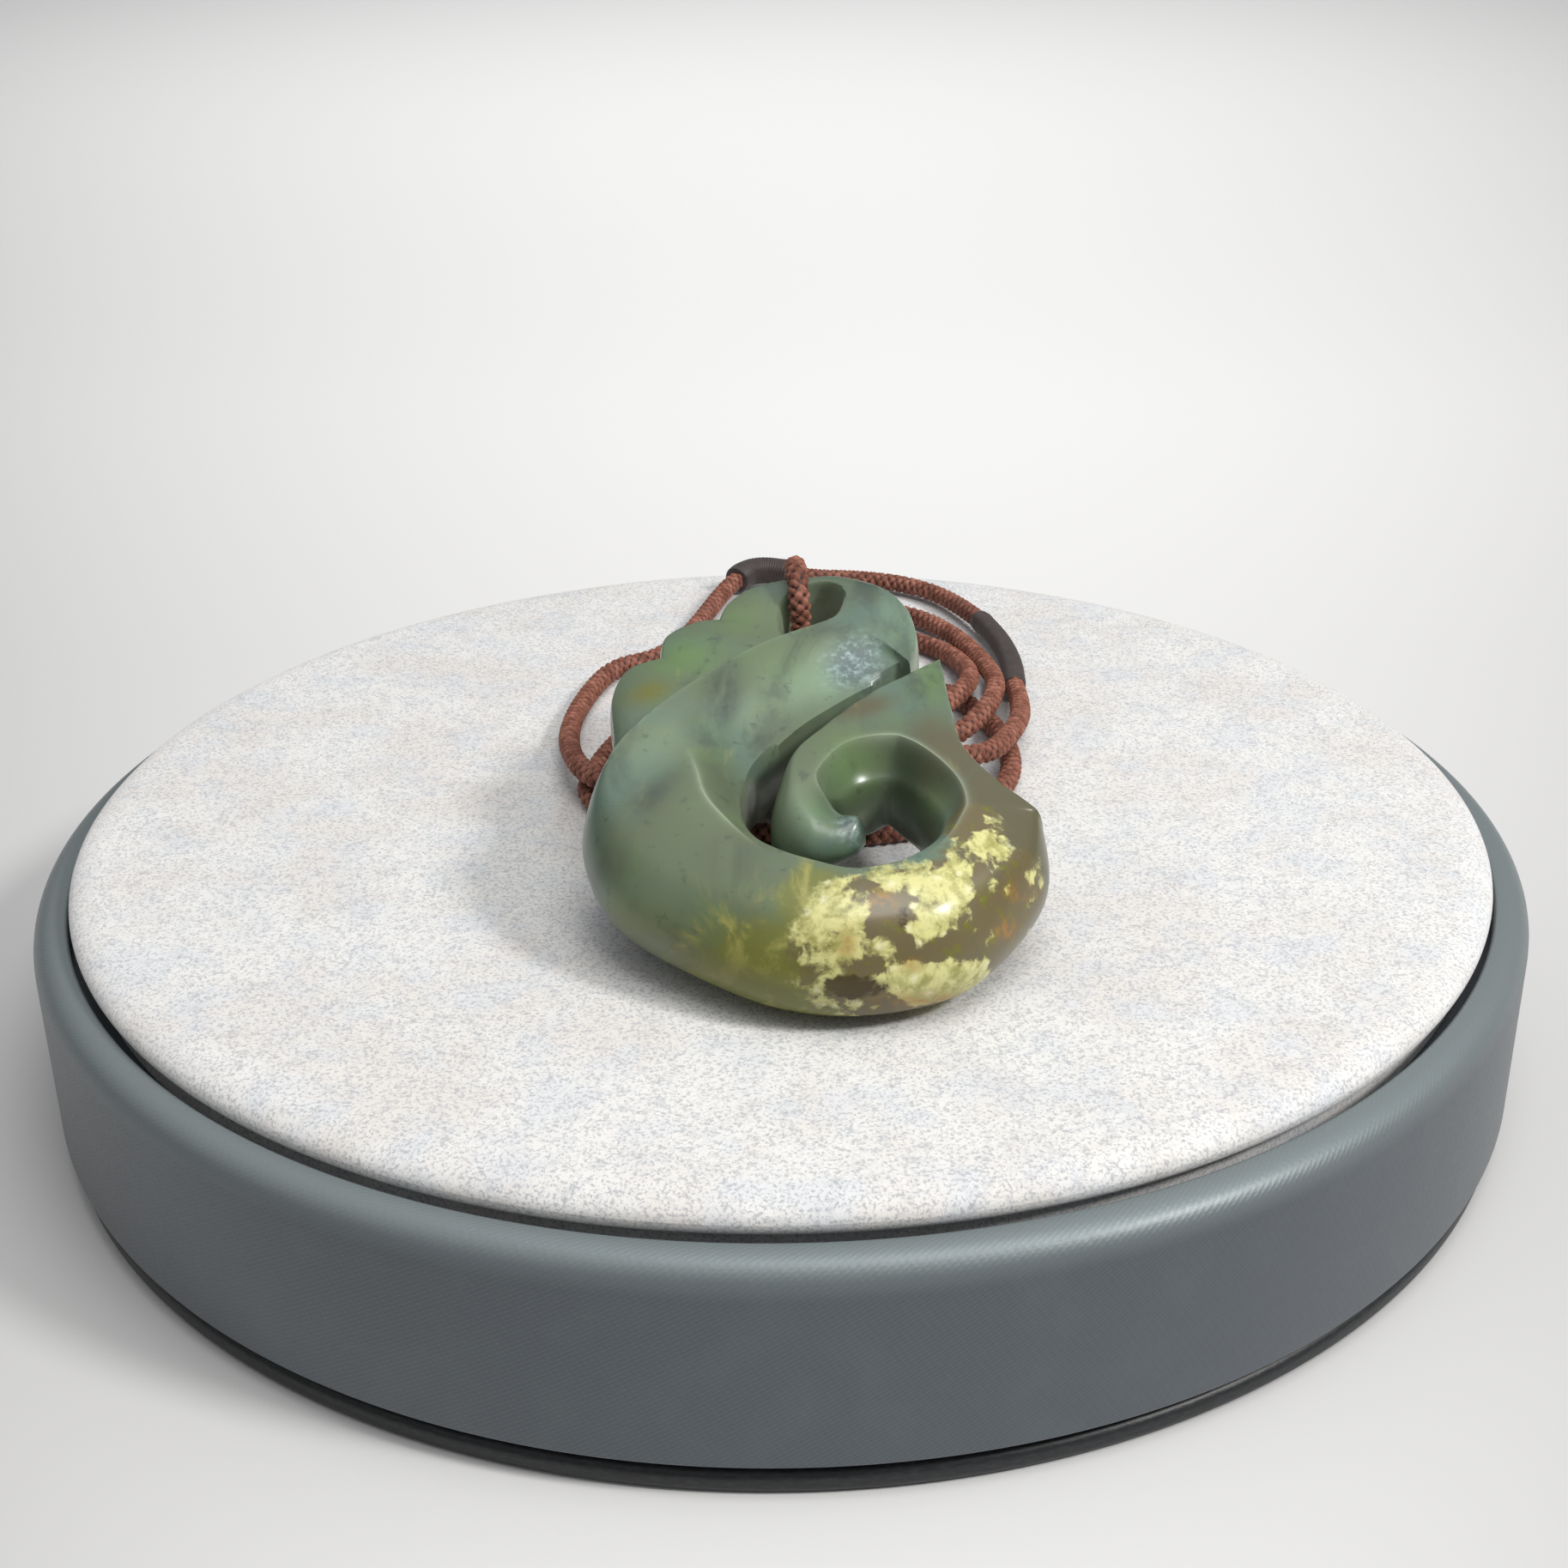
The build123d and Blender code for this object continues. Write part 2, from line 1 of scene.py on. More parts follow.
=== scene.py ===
"""Carved greenstone manaia pendant on its plaited cord, lying on a round display stand.

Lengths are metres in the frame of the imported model: +Z up, +X to the right, +Y away from the
viewer, with the origin at the centre of the stand's underside. Sizes are written in millimetres
and multiplied by MM. The pendant has a frame of its own: x across it, y from its bottom end to
its head and z out of its face, with zero halfway through its thickness.
"""
import logging
import math
from dataclasses import dataclass, field
from enum import Enum
from typing import Sequence

import bpy
import numpy as np
from mathutils import Matrix, Vector


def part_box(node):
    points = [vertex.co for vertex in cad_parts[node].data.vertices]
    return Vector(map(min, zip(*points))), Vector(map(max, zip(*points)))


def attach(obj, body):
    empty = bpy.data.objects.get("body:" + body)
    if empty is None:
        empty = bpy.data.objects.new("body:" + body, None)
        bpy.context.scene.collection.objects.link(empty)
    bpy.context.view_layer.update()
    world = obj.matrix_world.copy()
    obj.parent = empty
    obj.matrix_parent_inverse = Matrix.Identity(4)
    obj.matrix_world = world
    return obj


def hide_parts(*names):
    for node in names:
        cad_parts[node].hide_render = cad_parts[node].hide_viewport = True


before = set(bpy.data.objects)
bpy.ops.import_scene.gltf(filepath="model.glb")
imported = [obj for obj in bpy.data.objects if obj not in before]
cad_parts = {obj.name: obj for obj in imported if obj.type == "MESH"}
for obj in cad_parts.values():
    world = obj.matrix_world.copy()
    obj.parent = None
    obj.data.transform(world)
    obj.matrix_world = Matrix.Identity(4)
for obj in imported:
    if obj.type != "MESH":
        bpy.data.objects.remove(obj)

MM = 0.001
PAD_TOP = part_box("stand_pad")[1].z
Array = np.ndarray
Triple = tuple[float, float, float]
Socket = bpy.types.NodeSocket
Value = Socket | Triple | float
Material = bpy.types.Material
Piece = bpy.types.Object
LOG = logging.getLogger("manaia")

# Points of the cord's route in millimetres: x, y and height over the pad.
CORD_ROUTE = (
    (24.2, 22.0, 1.75),
    (24.3, 15.2, 2.2),
    (22.9, 7.2, 3.3),
    (19.0, -2.0, 4.3),
    (11.8, -4.4, 6.2),
    (4.4, -5.0, 6.9),
    (-2.8, -5.2, 6.6),
    (-8.6, -1.4, 4.9),
    (-11.6, 7.6, 3.5),
    (-11.0, 17.5, 3.5),
    (-9.0, 27.5, 3.5),
    (-4.2, 34.6, 3.6),
    (2.6, 36.0, 3.9),
    (6.0, 27.8, 5.0),
    (4.9, 20.6, 7.6),
    (3.2, 14.8, 11.2),
    (1.9, 9.7, 15.0),
    (1.6, 8.3, 20.25),
    (1.9, 3.0, 20.25),
    (2.2, 2.2, 15.2),
    (2.5, 3.2, 10.7),
    (2.8, 6.2, 7.0),
    (3.8, 12.6, 3.9),
    (6.6, 20.4, 1.6),
    (12.0, 24.6, 1.15),
    (17.6, 21.6, 1.15),
    (20.9, 14.6, 1.15),
    (22.5, 6.6, 1.15),
    (21.2, -2.2, 1.15),
    (15.0, -9.2, 1.15),
    (5.0, -11.8, 1.15),
    (-6.0, -10.0, 1.15),
    (-13.8, -6.9, 1.15),
    (-18.3, -2.6, 1.15),
    (-17.3, 5.2, 1.15),
    (-14.4, 14.0, 1.15),
    (-13.4, 24.0, 1.15),
    (-8.2, 34.8, 1.15),
    (-1.6, 43.2, 1.15),
    (7.5, 47.4, 1.15),
    (15.2, 44.6, 1.15),
    (19.3, 37.2, 1.4),
    (21.4, 27.6, 2.2),
    (22.3, 17.8, 3.4),
    (19.3, 8.4, 3.5),
    (12.8, 2.2, 2.4),
    (4.0, -3.4, 1.15),
    (-5.0, -4.2, 1.15),
    (-10.8, 2.2, 1.15),
    (-11.0, 12.5, 1.15),
    (-9.4, 23.5, 1.15),
    (-4.6, 33.2, 1.15),
    (3.4, 38.6, 1.15),
    (11.8, 38.8, 1.15),
    (17.7, 33.8, 1.15),
    (19.7, 25.2, 2.3),
    (19.4, 17.4, 3.8),
    (14.6, 9.6, 3.5),
    (8.6, 2.8, 3.35),
    (1.5, -3.6, 3.35),
    (-6.0, -6.0, 3.35),
    (-12.8, -6.6, 3.6),
    (-17.6, -3.4, 3.6),
    (-20.0, 3.8, 3.0),
    (-20.8, 14.0, 1.4),
    (-19.6, 22.8, 1.15),
    (-17.4, 29.8, 1.15),
    (-13.2, 31.8, 1.15),
    (-10.3, 37.2, 1.15),
    (-8.0, 45.6, 1.3),
    (-5.7, 53.6, 1.7),
    (-2.6, 58.0, 2.3),
    (3.6, 55.4, 1.8),
    (9.4, 56.4, 1.3),
    (15.4, 54.0, 1.3),
    (20.2, 48.0, 1.4),
    (22.5, 40.2, 1.75),
)

# Sections of the pendant in order along the carved band, from the tongue round the hook and its
# barb, down the right side, round the bottom, up the left side, along the band to the beak, round
# the eye and back down the scalloped head. left_x, right_x: hundredths of the width from the
# middle. left_y, right_y: hundredths of the length from the bottom. left_height, right_height,
# crown, scoop and back: shares of half the thickness. fold: where the scoop ends, in hundredths of
# the width. soft: how gently the scoop fades. left_round, right_round: edge roundings as shares of
# the thickness. left_point, right_point: 1 where the outline has a corner.
COLUMNS = (
    "left_x", "left_y", "right_x", "right_y", "left_height", "right_height", "crown", "fold",
    "scoop", "soft", "left_round", "right_round", "back", "left_point", "right_point",
)
SECTIONS = (
    ("tongue_tip",  11.3, 28.9,  11.4,  31.0,  0.22,  0.22,  0.00,  4.0, 0.00, 0.0, 0.02, 0.02, -0.1, 0, 0),
    ("tongue_end",   9.4, 26.8,   9.9,  33.2,  0.44,  0.44,  0.16,  4.0, 0.00, 0.0, 0.22, 0.22, 0.00, 0, 0),
    ("tongue",       5.0, 25.2,   6.4,  34.4,  0.48,  0.42,  0.14,  4.0, 0.05, 0.0, 0.24, 0.12, 0.08, 0, 0),
    ("koru_low",    -2.2, 25.6,   4.6,  36.8,  0.68,  0.50,  0.14,  3.2, 0.22, 0.0, 0.30, 0.08, 0.32, 0, 0),
    ("koru_left",   -8.9, 32.2,   5.2,  38.2,  0.80,  0.72,  0.12,  4.6, 0.48, 0.0, 0.26, 0.08, 0.80, 0, 0),
    ("koru_up",     -6.0, 43.2,   7.8,  38.8,  0.88,  0.88,  0.04,  6.0, 0.66, 0.0, 0.10, 0.08, 1.00, 0, 0),
    ("koru_top",     2.2, 51.6,  10.9,  41.2,  0.90,  0.92,  0.03,  7.0, 0.70, 0.0, 0.08, 0.08, 1.00, 0, 0),
    ("barb_left",   15.1, 61.3,  13.8,  42.4,  0.90,  0.94,  0.00,  7.4, 0.72, 0.0, 0.06, 0.08, 1.00, 0, 0),
    ("barb_tip",    31.1, 71.0,  16.8,  42.8,  0.82,  0.95,  0.00,  7.2, 0.72, 0.0, 0.05, 0.08, 0.85, 1, 0),
    ("barb_right",  32.2, 57.2,  19.9,  41.2,  0.92,  0.97,  0.00,  6.6, 0.70, 0.0, 0.06, 0.08, 1.00, 0, 0),
    ("waist",       34.6, 45.4,  23.0,  37.8,  0.92,  0.98,  0.00,  6.6, 0.62, 0.0, 0.08, 0.08, 1.00, 0, 0),
    ("shoulder",    42.2, 36.4,  24.9,  32.6,  0.85,  1.00,  0.03,  7.4, 0.48, 0.1, 0.10, 0.10, 1.00, 0, 0),
    ("corner",      49.8, 30.8,  25.6,  27.2,  0.62,  1.00,  0.12,  6.6, 0.26, 0.3, 0.10, 0.10, 1.00, 1, 0),
    ("right_low",   49.6, 22.6,  24.0,  21.4,  0.34,  1.00,  0.24,  4.0, 0.08, 0.0, 0.24, 0.08, 1.00, 0, 0),
    ("bottom_r1",   40.3, 11.6,  18.6,  17.4,  0.18,  0.98,  0.28,  4.0, 0.00, 0.0, 0.36, 0.07, 1.00, 0, 0),
    ("bottom_r2",   28.8,  3.7,  12.9,  15.9,  0.22,  0.97,  0.26,  4.0, 0.00, 0.0, 0.36, 0.06, 1.00, 0, 0),
    ("bottom",       9.6,  0.0,   7.3,  15.6,  0.20,  0.96,  0.26,  4.0, 0.00, 0.0, 0.38, 0.06, 1.00, 0, 0),
    ("bottom_l1",   -9.9,  2.3,   1.2,  17.4,  0.16,  0.94,  0.26,  4.0, 0.00, 0.0, 0.40, 0.06, 1.00, 0, 0),
    ("bottom_l2",  -29.3, 10.9,  -6.0,  20.4,  0.16,  0.88,  0.27,  4.0, 0.00, 0.0, 0.40, 0.06, 1.00, 0, 0),
    ("left_low",   -42.9, 20.0, -11.4,  25.4,  0.24,  0.82,  0.28,  4.2, 0.12, 0.0, 0.38, 0.06, 1.00, 0, 0),
    ("left",       -49.4, 30.6, -14.1,  32.6,  0.38,  0.90,  0.26,  8.4, 0.40, 0.1, 0.34, 0.06, 1.00, 0, 0),
    ("left_up",    -49.2, 38.6, -13.8,  39.4,  0.66,  0.94,  0.14, 11.2, 0.46, 0.5, 0.20, 0.06, 1.00, 0, 0),
    ("seam_end",   -45.2, 44.1, -12.4,  44.3,  0.88,  0.94,  0.02, 14.5, 0.46, 0.9, 0.06, 0.06, 1.00, 0, 0),
    ("band_1",     -40.7, 49.8,  -8.9,  48.4,  0.96,  0.92, -0.02, 19.5, 0.42, 1.3, 0.04, 0.06, 1.00, 0, 0),
    ("band_2",     -35.4, 55.6,  -4.7,  52.4,  0.98,  0.90, -0.03, 25.0, 0.40, 1.5, 0.04, 0.06, 1.00, 0, 0),
    ("band_3",     -29.0, 61.5,   0.0,  56.2,  0.98,  0.90, -0.03, 28.0, 0.38, 1.5, 0.04, 0.06, 1.00, 0, 0),
    ("band_4",     -21.5, 67.3,   5.2,  60.0,  0.98,  0.90, -0.03, 27.5, 0.38, 1.5, 0.04, 0.06, 1.00, 0, 0),
    ("band_5",     -12.9, 73.3,  10.8,  63.9,  0.98,  0.90, -0.03, 26.0, 0.38, 1.5, 0.04, 0.06, 1.00, 0, 0),
    ("seam_start",  -5.2, 77.1,  15.9,  67.1,  0.98,  0.90, -0.02, 23.0, 0.36, 1.5, 0.04, 0.06, 1.00, 0, 0),
    ("beak",         4.7, 81.8,  21.5,  69.7,  0.96,  0.90,  0.00, 18.0, 0.20, 1.1, 0.05, 0.06, 1.00, 0, 0),
    ("beak_end",     7.2, 85.0,  24.2,  68.6,  0.94,  0.88,  0.02, 12.0, 0.04, 0.6, 0.06, 0.06, 0.98, 0, 1),
    ("beak_lip",     8.0, 88.0,  26.3,  74.6,  0.92,  0.84,  0.05,  6.0, 0.00, 0.0, 0.07, 0.06, 0.97, 0, 0),
    ("ring_r1",      8.1, 90.4,  26.7,  80.0,  0.90,  0.78,  0.08,  4.0, 0.00, 0.0, 0.08, 0.08, 0.96, 0, 0),
    ("ring_r2",      7.6, 92.4,  25.4,  86.6,  0.85,  0.74,  0.10,  4.0, 0.00, 0.0, 0.08, 0.08, 0.94, 0, 0),
    ("ring_r3",      6.2, 94.2,  20.2,  93.8,  0.80,  0.70,  0.09,  4.0, 0.00, 0.0, 0.08, 0.08, 0.92, 0, 0),
    ("ring_top",     3.2, 95.4,   8.8,  99.3,  0.72,  0.64,  0.06,  2.5, 0.00, 0.0, 0.08, 0.08, 0.90, 0, 0),
    ("ring_l1",     -0.2, 95.2,  -2.9, 100.0,  0.62,  0.56,  0.06,  2.5, 0.00, 0.0, 0.08, 0.08, 0.88, 0, 0),
    ("ring_l2",     -3.2, 93.8, -13.3,  99.0,  0.52,  0.46,  0.08,  4.0, 0.00, 0.0, 0.08, 0.08, 0.86, 0, 0),
    ("ring_l3",     -5.0, 91.2, -20.2,  94.8,  0.45,  0.36,  0.10,  4.0, 0.00, 0.0, 0.07, 0.07, 0.84, 0, 0),
    ("notch_1",     -5.6, 87.2, -22.4,  90.4,  0.40,  0.29,  0.07,  4.0, 0.00, 0.0, 0.07, 0.07, 0.84, 0, 1),
    ("lobe_2a",     -5.2, 77.1, -28.2,  90.4,  0.40,  0.26,  0.10,  4.0, 0.00, 0.0, 0.04, 0.07, 0.84, 0, 0),
    ("lobe_2b",    -12.9, 73.3, -35.2,  86.9,  0.38,  0.18,  0.12,  4.0, 0.00, 0.0, 0.04, 0.07, 0.84, 0, 0),
    ("notch_2",    -21.5, 67.3, -35.9,  80.8,  0.34,  0.16,  0.08,  4.0, 0.00, 0.0, 0.04, 0.07, 0.84, 0, 1),
    ("lobe_3a",    -29.0, 61.5, -43.6,  78.3,  0.28,  0.08,  0.12,  4.0, 0.00, 0.0, 0.04, 0.07, 0.86, 0, 0),
    ("lobe_3b",    -35.4, 55.6, -46.8,  70.3,  0.20,  0.02,  0.12,  4.0, 0.00, 0.0, 0.04, 0.07, 0.88, 0, 0),
    ("lobe_3c",    -40.7, 49.8, -45.4,  58.0,  0.12, -0.05,  0.08,  4.0, 0.00, 0.0, 0.04, 0.07, 0.92, 0, 0),
    ("tail",       -45.2, 44.1, -45.2,  44.1,  0.00, -0.10,  0.00,  4.0, 0.00, 0.0, 0.04, 0.07, 1.00, 0, 0),
)


class Falloff(Enum):
    """How a stain on the stone fades from its middle."""

    SOFT = "soft"
    FIRM = "firm"


@dataclass(frozen=True)
class Stain:
    """An oval patch of colour on the stone, in millimetres and degrees in the pendant's frame."""

    x: float
    y: float
    half_width: float
    half_height: float
    turn: float = 0.0
    strength: float = 1.0
    falloff: Falloff = Falloff.SOFT

    def cover(self, x: Array, y: Array) -> Array:
        """Share covered at each point.

        A soft stain falls as exp(-r * r), a firm one as exp(-r ** 6), where r is the distance from
        the middle over the half width and half height.

        Args:
            x: place across the pendant in millimetres.
            y: place along it.

        Returns:
            Shares from 0 to 1.
        """
        turn = math.radians(self.turn)
        across = (x - self.x) * math.cos(turn) + (y - self.y) * math.sin(turn)
        along = (y - self.y) * math.cos(turn) - (x - self.x) * math.sin(turn)
        reach = (across / self.half_width) ** 2 + (along / self.half_height) ** 2
        power = 1 if self.falloff is Falloff.SOFT else 3
        return self.strength * np.exp(-(reach ** power))


FIRM = Falloff.FIRM
# Stains on the stone, by the name of the mesh attribute that holds them; the last entry is no stain but
# painted shade inside the two openings. Each row is a Stain's x, y, half_width, half_height, turn, strength
# and falloff, which is soft where it isn't given.
STAINS = {
    "stain": (
        (7.2, -0.6, 10.0, 9.0, 0, 1.0, FIRM),
        (13.2, 5.0, 5.8, 7.5, -20, 1.0, FIRM),
        (12.6, 12.4, 3.0, 3.4, -20, 0.8, FIRM),
        (16.6, 9.4, 2.0, 2.0, 0, 0.8),
    ),
    "clump": (
        (0.6, 2.0, 3.6, 5.6, 0, 1.6, FIRM),
        (5.5, 6.9, 4.6, 1.5, 0, 1.5),
        (9.6, 4.6, 1.9, 5.0, -28, 1.5, FIRM),
        (8.8, -4.2, 5.0, 2.6, 0, 1.6, FIRM),
        (4.6, -0.8, 3.0, 2.0, 0, 1.2),
        (-1.8, -4.6, 4.4, 2.6, 0, 1.35),
        (13.6, 11.2, 1.9, 2.3, -15, 1.1),
        (17.2, 8.2, 1.1, 2.0, 0, 1.2),
        (13.2, 1.2, 1.2, 1.0, 0, 0.6),
    ),
    "gold": (
        (-3.4, -1.8, 6.0, 5.6, 20, 1.4),
        (0.0, 3.0, 3.6, 5.6, 0, 1.0, FIRM),
        (0.0, -6.2, 10.0, 3.0, 0, 1.5),
    ),
    "umber": (
        (2.8, -4.7, 3.6, 1.5, 0, 1.0),
        (6.4, 3.0, 1.2, 1.5, -30, 0.8),
        (12.0, 6.4, 0.9, 1.6, 0, 0.6),
    ),
    "rust": (
        (2.2, 0.2, 0.7, 1.5, 0, 0.9),
        (5.0, 4.3, 0.8, 0.9, 0, 0.9),
        (7.2, -2.4, 0.7, 0.6, 0, 0.9),
        (14.6, 1.6, 0.9, 0.9, 0, 0.9),
        (15.8, 6.0, 1.1, 0.8, 0, 0.9),
        (9.0, -6.2, 4.0, 0.8, 0, 0.9),
    ),
    "olive": (
        (-14.0, 36.0, 1.9, 1.6, 20, 0.95),
        (-6.5, -3.4, 6.0, 3.0, -12, 0.85),
        (-14.0, 3.0, 5.0, 2.6, -35, 0.45),
    ),
    "ash": (
        (16.2, 14.9, 5.5, 7.5, -10, 1.0, FIRM),
        (11.6, 22.5, 3.6, 7.0, 25, 0.85),
        (4.4, 29.3, 4.5, 2.2, 25, 0.75),
        (5.4, 47.1, 4.5, 3.5, 0, 0.45),
        (-6.4, 11.5, 3.5, 3.0, 0, 0.40),
    ),
    "leaf": (
        (-10.8, 40.9, 3.6, 3.4, 0, 0.9),
        (-6.4, 46.7, 3.0, 3.0, 0, 0.55),
        (10.6, 34.2, 1.3, 4.0, 0, 0.9),
        (-6.9, 36.6, 4.5, 2.4, 30, 0.5),
        (3.4, 22.6, 2.6, 3.0, 0, 0.9),
        (-2.5, 36.6, 3.0, 3.0, 0, 0.4),
    ),
    "pale": (
        (1.8, 35.6, 6.0, 3.0, 38, 0.9),
        (-5.5, 30.0, 4.5, 2.4, 45, 0.5),
        (-12.0, 24.5, 3.0, 5.5, -30, 0.45),
        (8.6, 44.0, 2.2, 6.0, 0, 0.5),
        (-1.5, 15.5, 2.0, 4.0, 0, 0.4),
        (-13.0, 5.5, 3.5, 4.5, 40, 0.35),
    ),
    "frost": (
        (4.0, 37.4, 2.6, 3.4, -40, 1.1),
        (2.8, 15.0, 1.3, 1.5, 0, 0.9),
    ),
    "smoke": (
        (-7.4, 31.7, 1.5, 5.2, -6, 1.0),
        (-8.6, 25.8, 1.6, 3.0, 20, 0.8),
        (-12.5, 17.8, 1.4, 3.5, -35, 0.6),
        (-16.7, 12.5, 1.6, 4.0, 20, 0.5),
        (-5.9, 10.6, 2.4, 1.8, 0, 0.5),
        (6.5, 35.6, 2.2, 1.4, 30, 0.6),
        (-6.2, 9.4, 1.5, 2.8, 0, 0.75),
        (-7.2, 29.4, 1.1, 3.8, -15, 0.8),
    ),
    # Painted shade inside the openings, not a stain.
    "hollow_shade": (
        (7.4, 22.1, 1.6, 2.4, 0, 0.8),
        (3.4, 17.8, 3.0, 1.8, 30, 0.8),
        (-6.5, 19.7, 1.6, 4.5, 20, 0.4),
    ),
}
# The two openings of the carving, whose walls get painted shade.
SHADED_HOLLOWS = (
    (3.5, 17.5, 8.5, 7.0, 0, 1.0, FIRM),
    (0.5, 27.0, 5.0, 13.0, -37, 1.0, FIRM),
)


def cover(patches: Sequence[tuple], x: Array, y: Array) -> Array:
    """The strongest of several stains at each point.

    Args:
        patches: rows of stains.
        x: place across the pendant in millimetres.
        y: place along it.

    Returns:
        Shares from 0 up.
    """
    return np.max([Stain(*patch).cover(x, y) for patch in patches], axis=0)


class Nodes:
    """The node tree of a new material or world, with short calls for the nodes that finishes share."""

    def __init__(self, owner: bpy.types.ID) -> None:
        """Turn the nodes on.

        Args:
            owner: the new material or world.
        """
        owner.use_nodes = True
        self.owner = owner
        self.tree = owner.node_tree

    def feed(self, socket: Socket, value: Value) -> None:
        """Link an output to an input, or set the input's own value.

        Args:
            socket: the input.
            value: an output, a number or a triple.
        """
        if isinstance(value, Socket):
            self.tree.links.new(value, socket)
        elif isinstance(value, tuple) and socket.type == "RGBA":
            socket.default_value = (*value, 1.0)
        else:
            socket.default_value = value

    def make(self, kind: str, fed: dict[str | int, Value], **settings: str) -> bpy.types.Node:
        """Add a node, set its plain properties and feed its inputs.

        Args:
            kind: Blender's name for the node type.
            fed: what goes into its inputs, by name or number.
            settings: properties to set on it.

        Returns:
            The new node.
        """
        node = self.tree.nodes.new(kind)
        for name, value in settings.items():
            setattr(node, name, value)
        for name, value in fed.items():
            self.feed(node.inputs[name], value)
        return node

    def coordinates(self, kind: str = "Object") -> Socket:
        """Coordinates: Object in metres, UV in the piece's own map, Generated for a sky's direction."""
        return self.make("ShaderNodeTexCoord", {}).outputs[kind]

    def attribute(self, name: str) -> Socket:
        """A number that the piece's mesh holds at each point."""
        return self.make("ShaderNodeAttribute", {}, attribute_name=name).outputs["Fac"]

    def split(self, vector: Socket) -> tuple[Socket, ...]:
        """The three parts of a vector."""
        return tuple(self.make("ShaderNodeSeparateXYZ", {0: vector}).outputs)

    def mapped(self, vector: Socket, scale: Triple, turn: float = 0.0) -> Socket:
        """Coordinates turned about Z by an angle in radians, and stretched along each axis."""
        fed = {"Vector": vector, "Scale": scale, "Rotation": (0.0, 0.0, turn)}
        return self.make("ShaderNodeMapping", fed).outputs["Vector"]

    def noise(
        self,
        vector: Socket,
        size: float,
        detail: float = 3.0,
        rough: float = 0.55,
        warp: float = 0.0,
        output: str = "Fac",
    ) -> Socket:
        """Cloudy noise from 0 to 1.

        Args:
            vector: coordinates.
            size: width of a cloud.
            detail: octaves of finer noise.
            rough: strength of each finer octave.
            warp: distortion.
            output: Fac for a number, Color for three of them.

        Returns:
            The noise.
        """
        fed = {"Vector": vector, "Scale": 1 / size, "Detail": detail}
        fed |= {"Roughness": rough, "Distortion": warp}
        return self.make("ShaderNodeTexNoise", fed).outputs[output]

    def cells(self, vector: Socket, size: float, smooth: float) -> Socket:
        """Distance from the middle of the nearest grain, smoothed between grains of a given width."""
        fed = {"Vector": vector, "Scale": 1 / size, "Smoothness": smooth}
        return self.make("ShaderNodeTexVoronoi", fed, feature="SMOOTH_F1").outputs["Distance"]

    def calc(self, kind: str, *values: Value) -> Socket:
        """The result of one Math node on the values."""
        return self.make("ShaderNodeMath", dict(enumerate(values)), operation=kind).outputs[0]

    def times(self, a: Value, b: Value) -> Socket:
        """The product of two values."""
        return self.calc("MULTIPLY", a, b)

    def plus(self, first: Value, *others: Value) -> Socket:
        """The sum of all values."""
        total = first
        for other in others:
            total = self.calc("ADD", total, other)
        return total

    def between(self, value: Value, low: float, high: float) -> Socket:
        """A smooth step: 0 at low or less, 1 at high or more, and the reverse if low is above high.

        Args:
            value: the number to test.
            low: where the result is 0.
            high: where the result is 1.

        Returns:
            The share from 0 to 1.
        """
        ends = sorted((low, high))
        shares = (0.0, 1.0) if low < high else (1.0, 0.0)
        names = ("From Min", "From Max", "To Min", "To Max")
        fed = {"Value": value, **dict(zip(names, (*ends, *shares)))}
        return self.make("ShaderNodeMapRange", fed, interpolation_type="SMOOTHSTEP").outputs["Result"]

    def spread(self, value: Value, start: float, end: float) -> Socket:
        """Carry a share from 0 to 1 onto start to end."""
        fed = {"Value": value, "To Min": start, "To Max": end}
        return self.make("ShaderNodeMapRange", fed).outputs["Result"]

    def mix(self, share: Value, under: Value, over: Value) -> Socket:
        """Blend two colours: a share of 0 gives the one under, 1 the one over it."""
        fed = {0: share, 6: under, 7: over}
        return self.make("ShaderNodeMix", fed, data_type="RGBA").outputs[2]

    def layer(
        self, under: Value, value: Value, low: float, high: float, over: Value, most: float = 1.0
    ) -> Socket:
        """Lay a colour over another where a value is high.

        Args:
            under: the colour below.
            value: the number to test.
            low: where the new colour starts.
            high: where it is full; below low, it lies where the value is low.
            over: the new colour.
            most: its share where it is full.

        Returns:
            The colour.
        """
        share = self.between(value, low, high)
        return self.mix(self.times(share, most) if most < 1 else share, under, over)

    def stained(self, under: Value, name: str, strength: Value, over: Value) -> Socket:
        """Lay a colour over another where the mesh holds a stain.

        Args:
            under: the colour below.
            name: the stain's attribute.
            strength: factor on the attribute.
            over: the stain's colour.

        Returns:
            The colour.
        """
        return self.mix(self.times(self.attribute(name), strength), under, over)

    def bump(self, height: Socket, depth: float, strength: float) -> Socket:
        """The normal of a relief.

        Args:
            height: value from 0 to 1.
            depth: what a height of 1 stands for, in metres.
            strength: strength of the effect.

        Returns:
            The normal.
        """
        fed = {"Strength": strength, "Distance": depth, "Height": height}
        return self.make("ShaderNodeBump", fed).outputs["Normal"]

    def finish(self, shader: str = "Principled BSDF", **inputs: Value) -> bpy.types.ID:
        """Feed the inputs of the tree's shader.

        Args:
            shader: the shader node's name.
            inputs: input names with _ for a space, and what goes in.

        Returns:
            The finished material or world.
        """
        sockets = self.tree.nodes[shader].inputs
        for name, value in inputs.items():
            self.feed(sockets[name.replace("_", " ")], value)
        return self.owner


def new_material(name: str) -> Nodes:
    """The nodes of a new material, with one Principled shader."""
    return Nodes(bpy.data.materials.new(name))


def srgb(red: int, green: int, blue: int) -> Triple:
    """Linear colour of an sRGB colour with parts from 0 to 255: ((c + 0.055) / 1.055) ** 2.4."""
    parts = np.array([red, green, blue]) / 255
    linear = np.where(parts <= 0.04045, parts / 12.92, ((parts + 0.055) / 1.055) ** 2.4)
    return tuple(float(part) for part in linear)


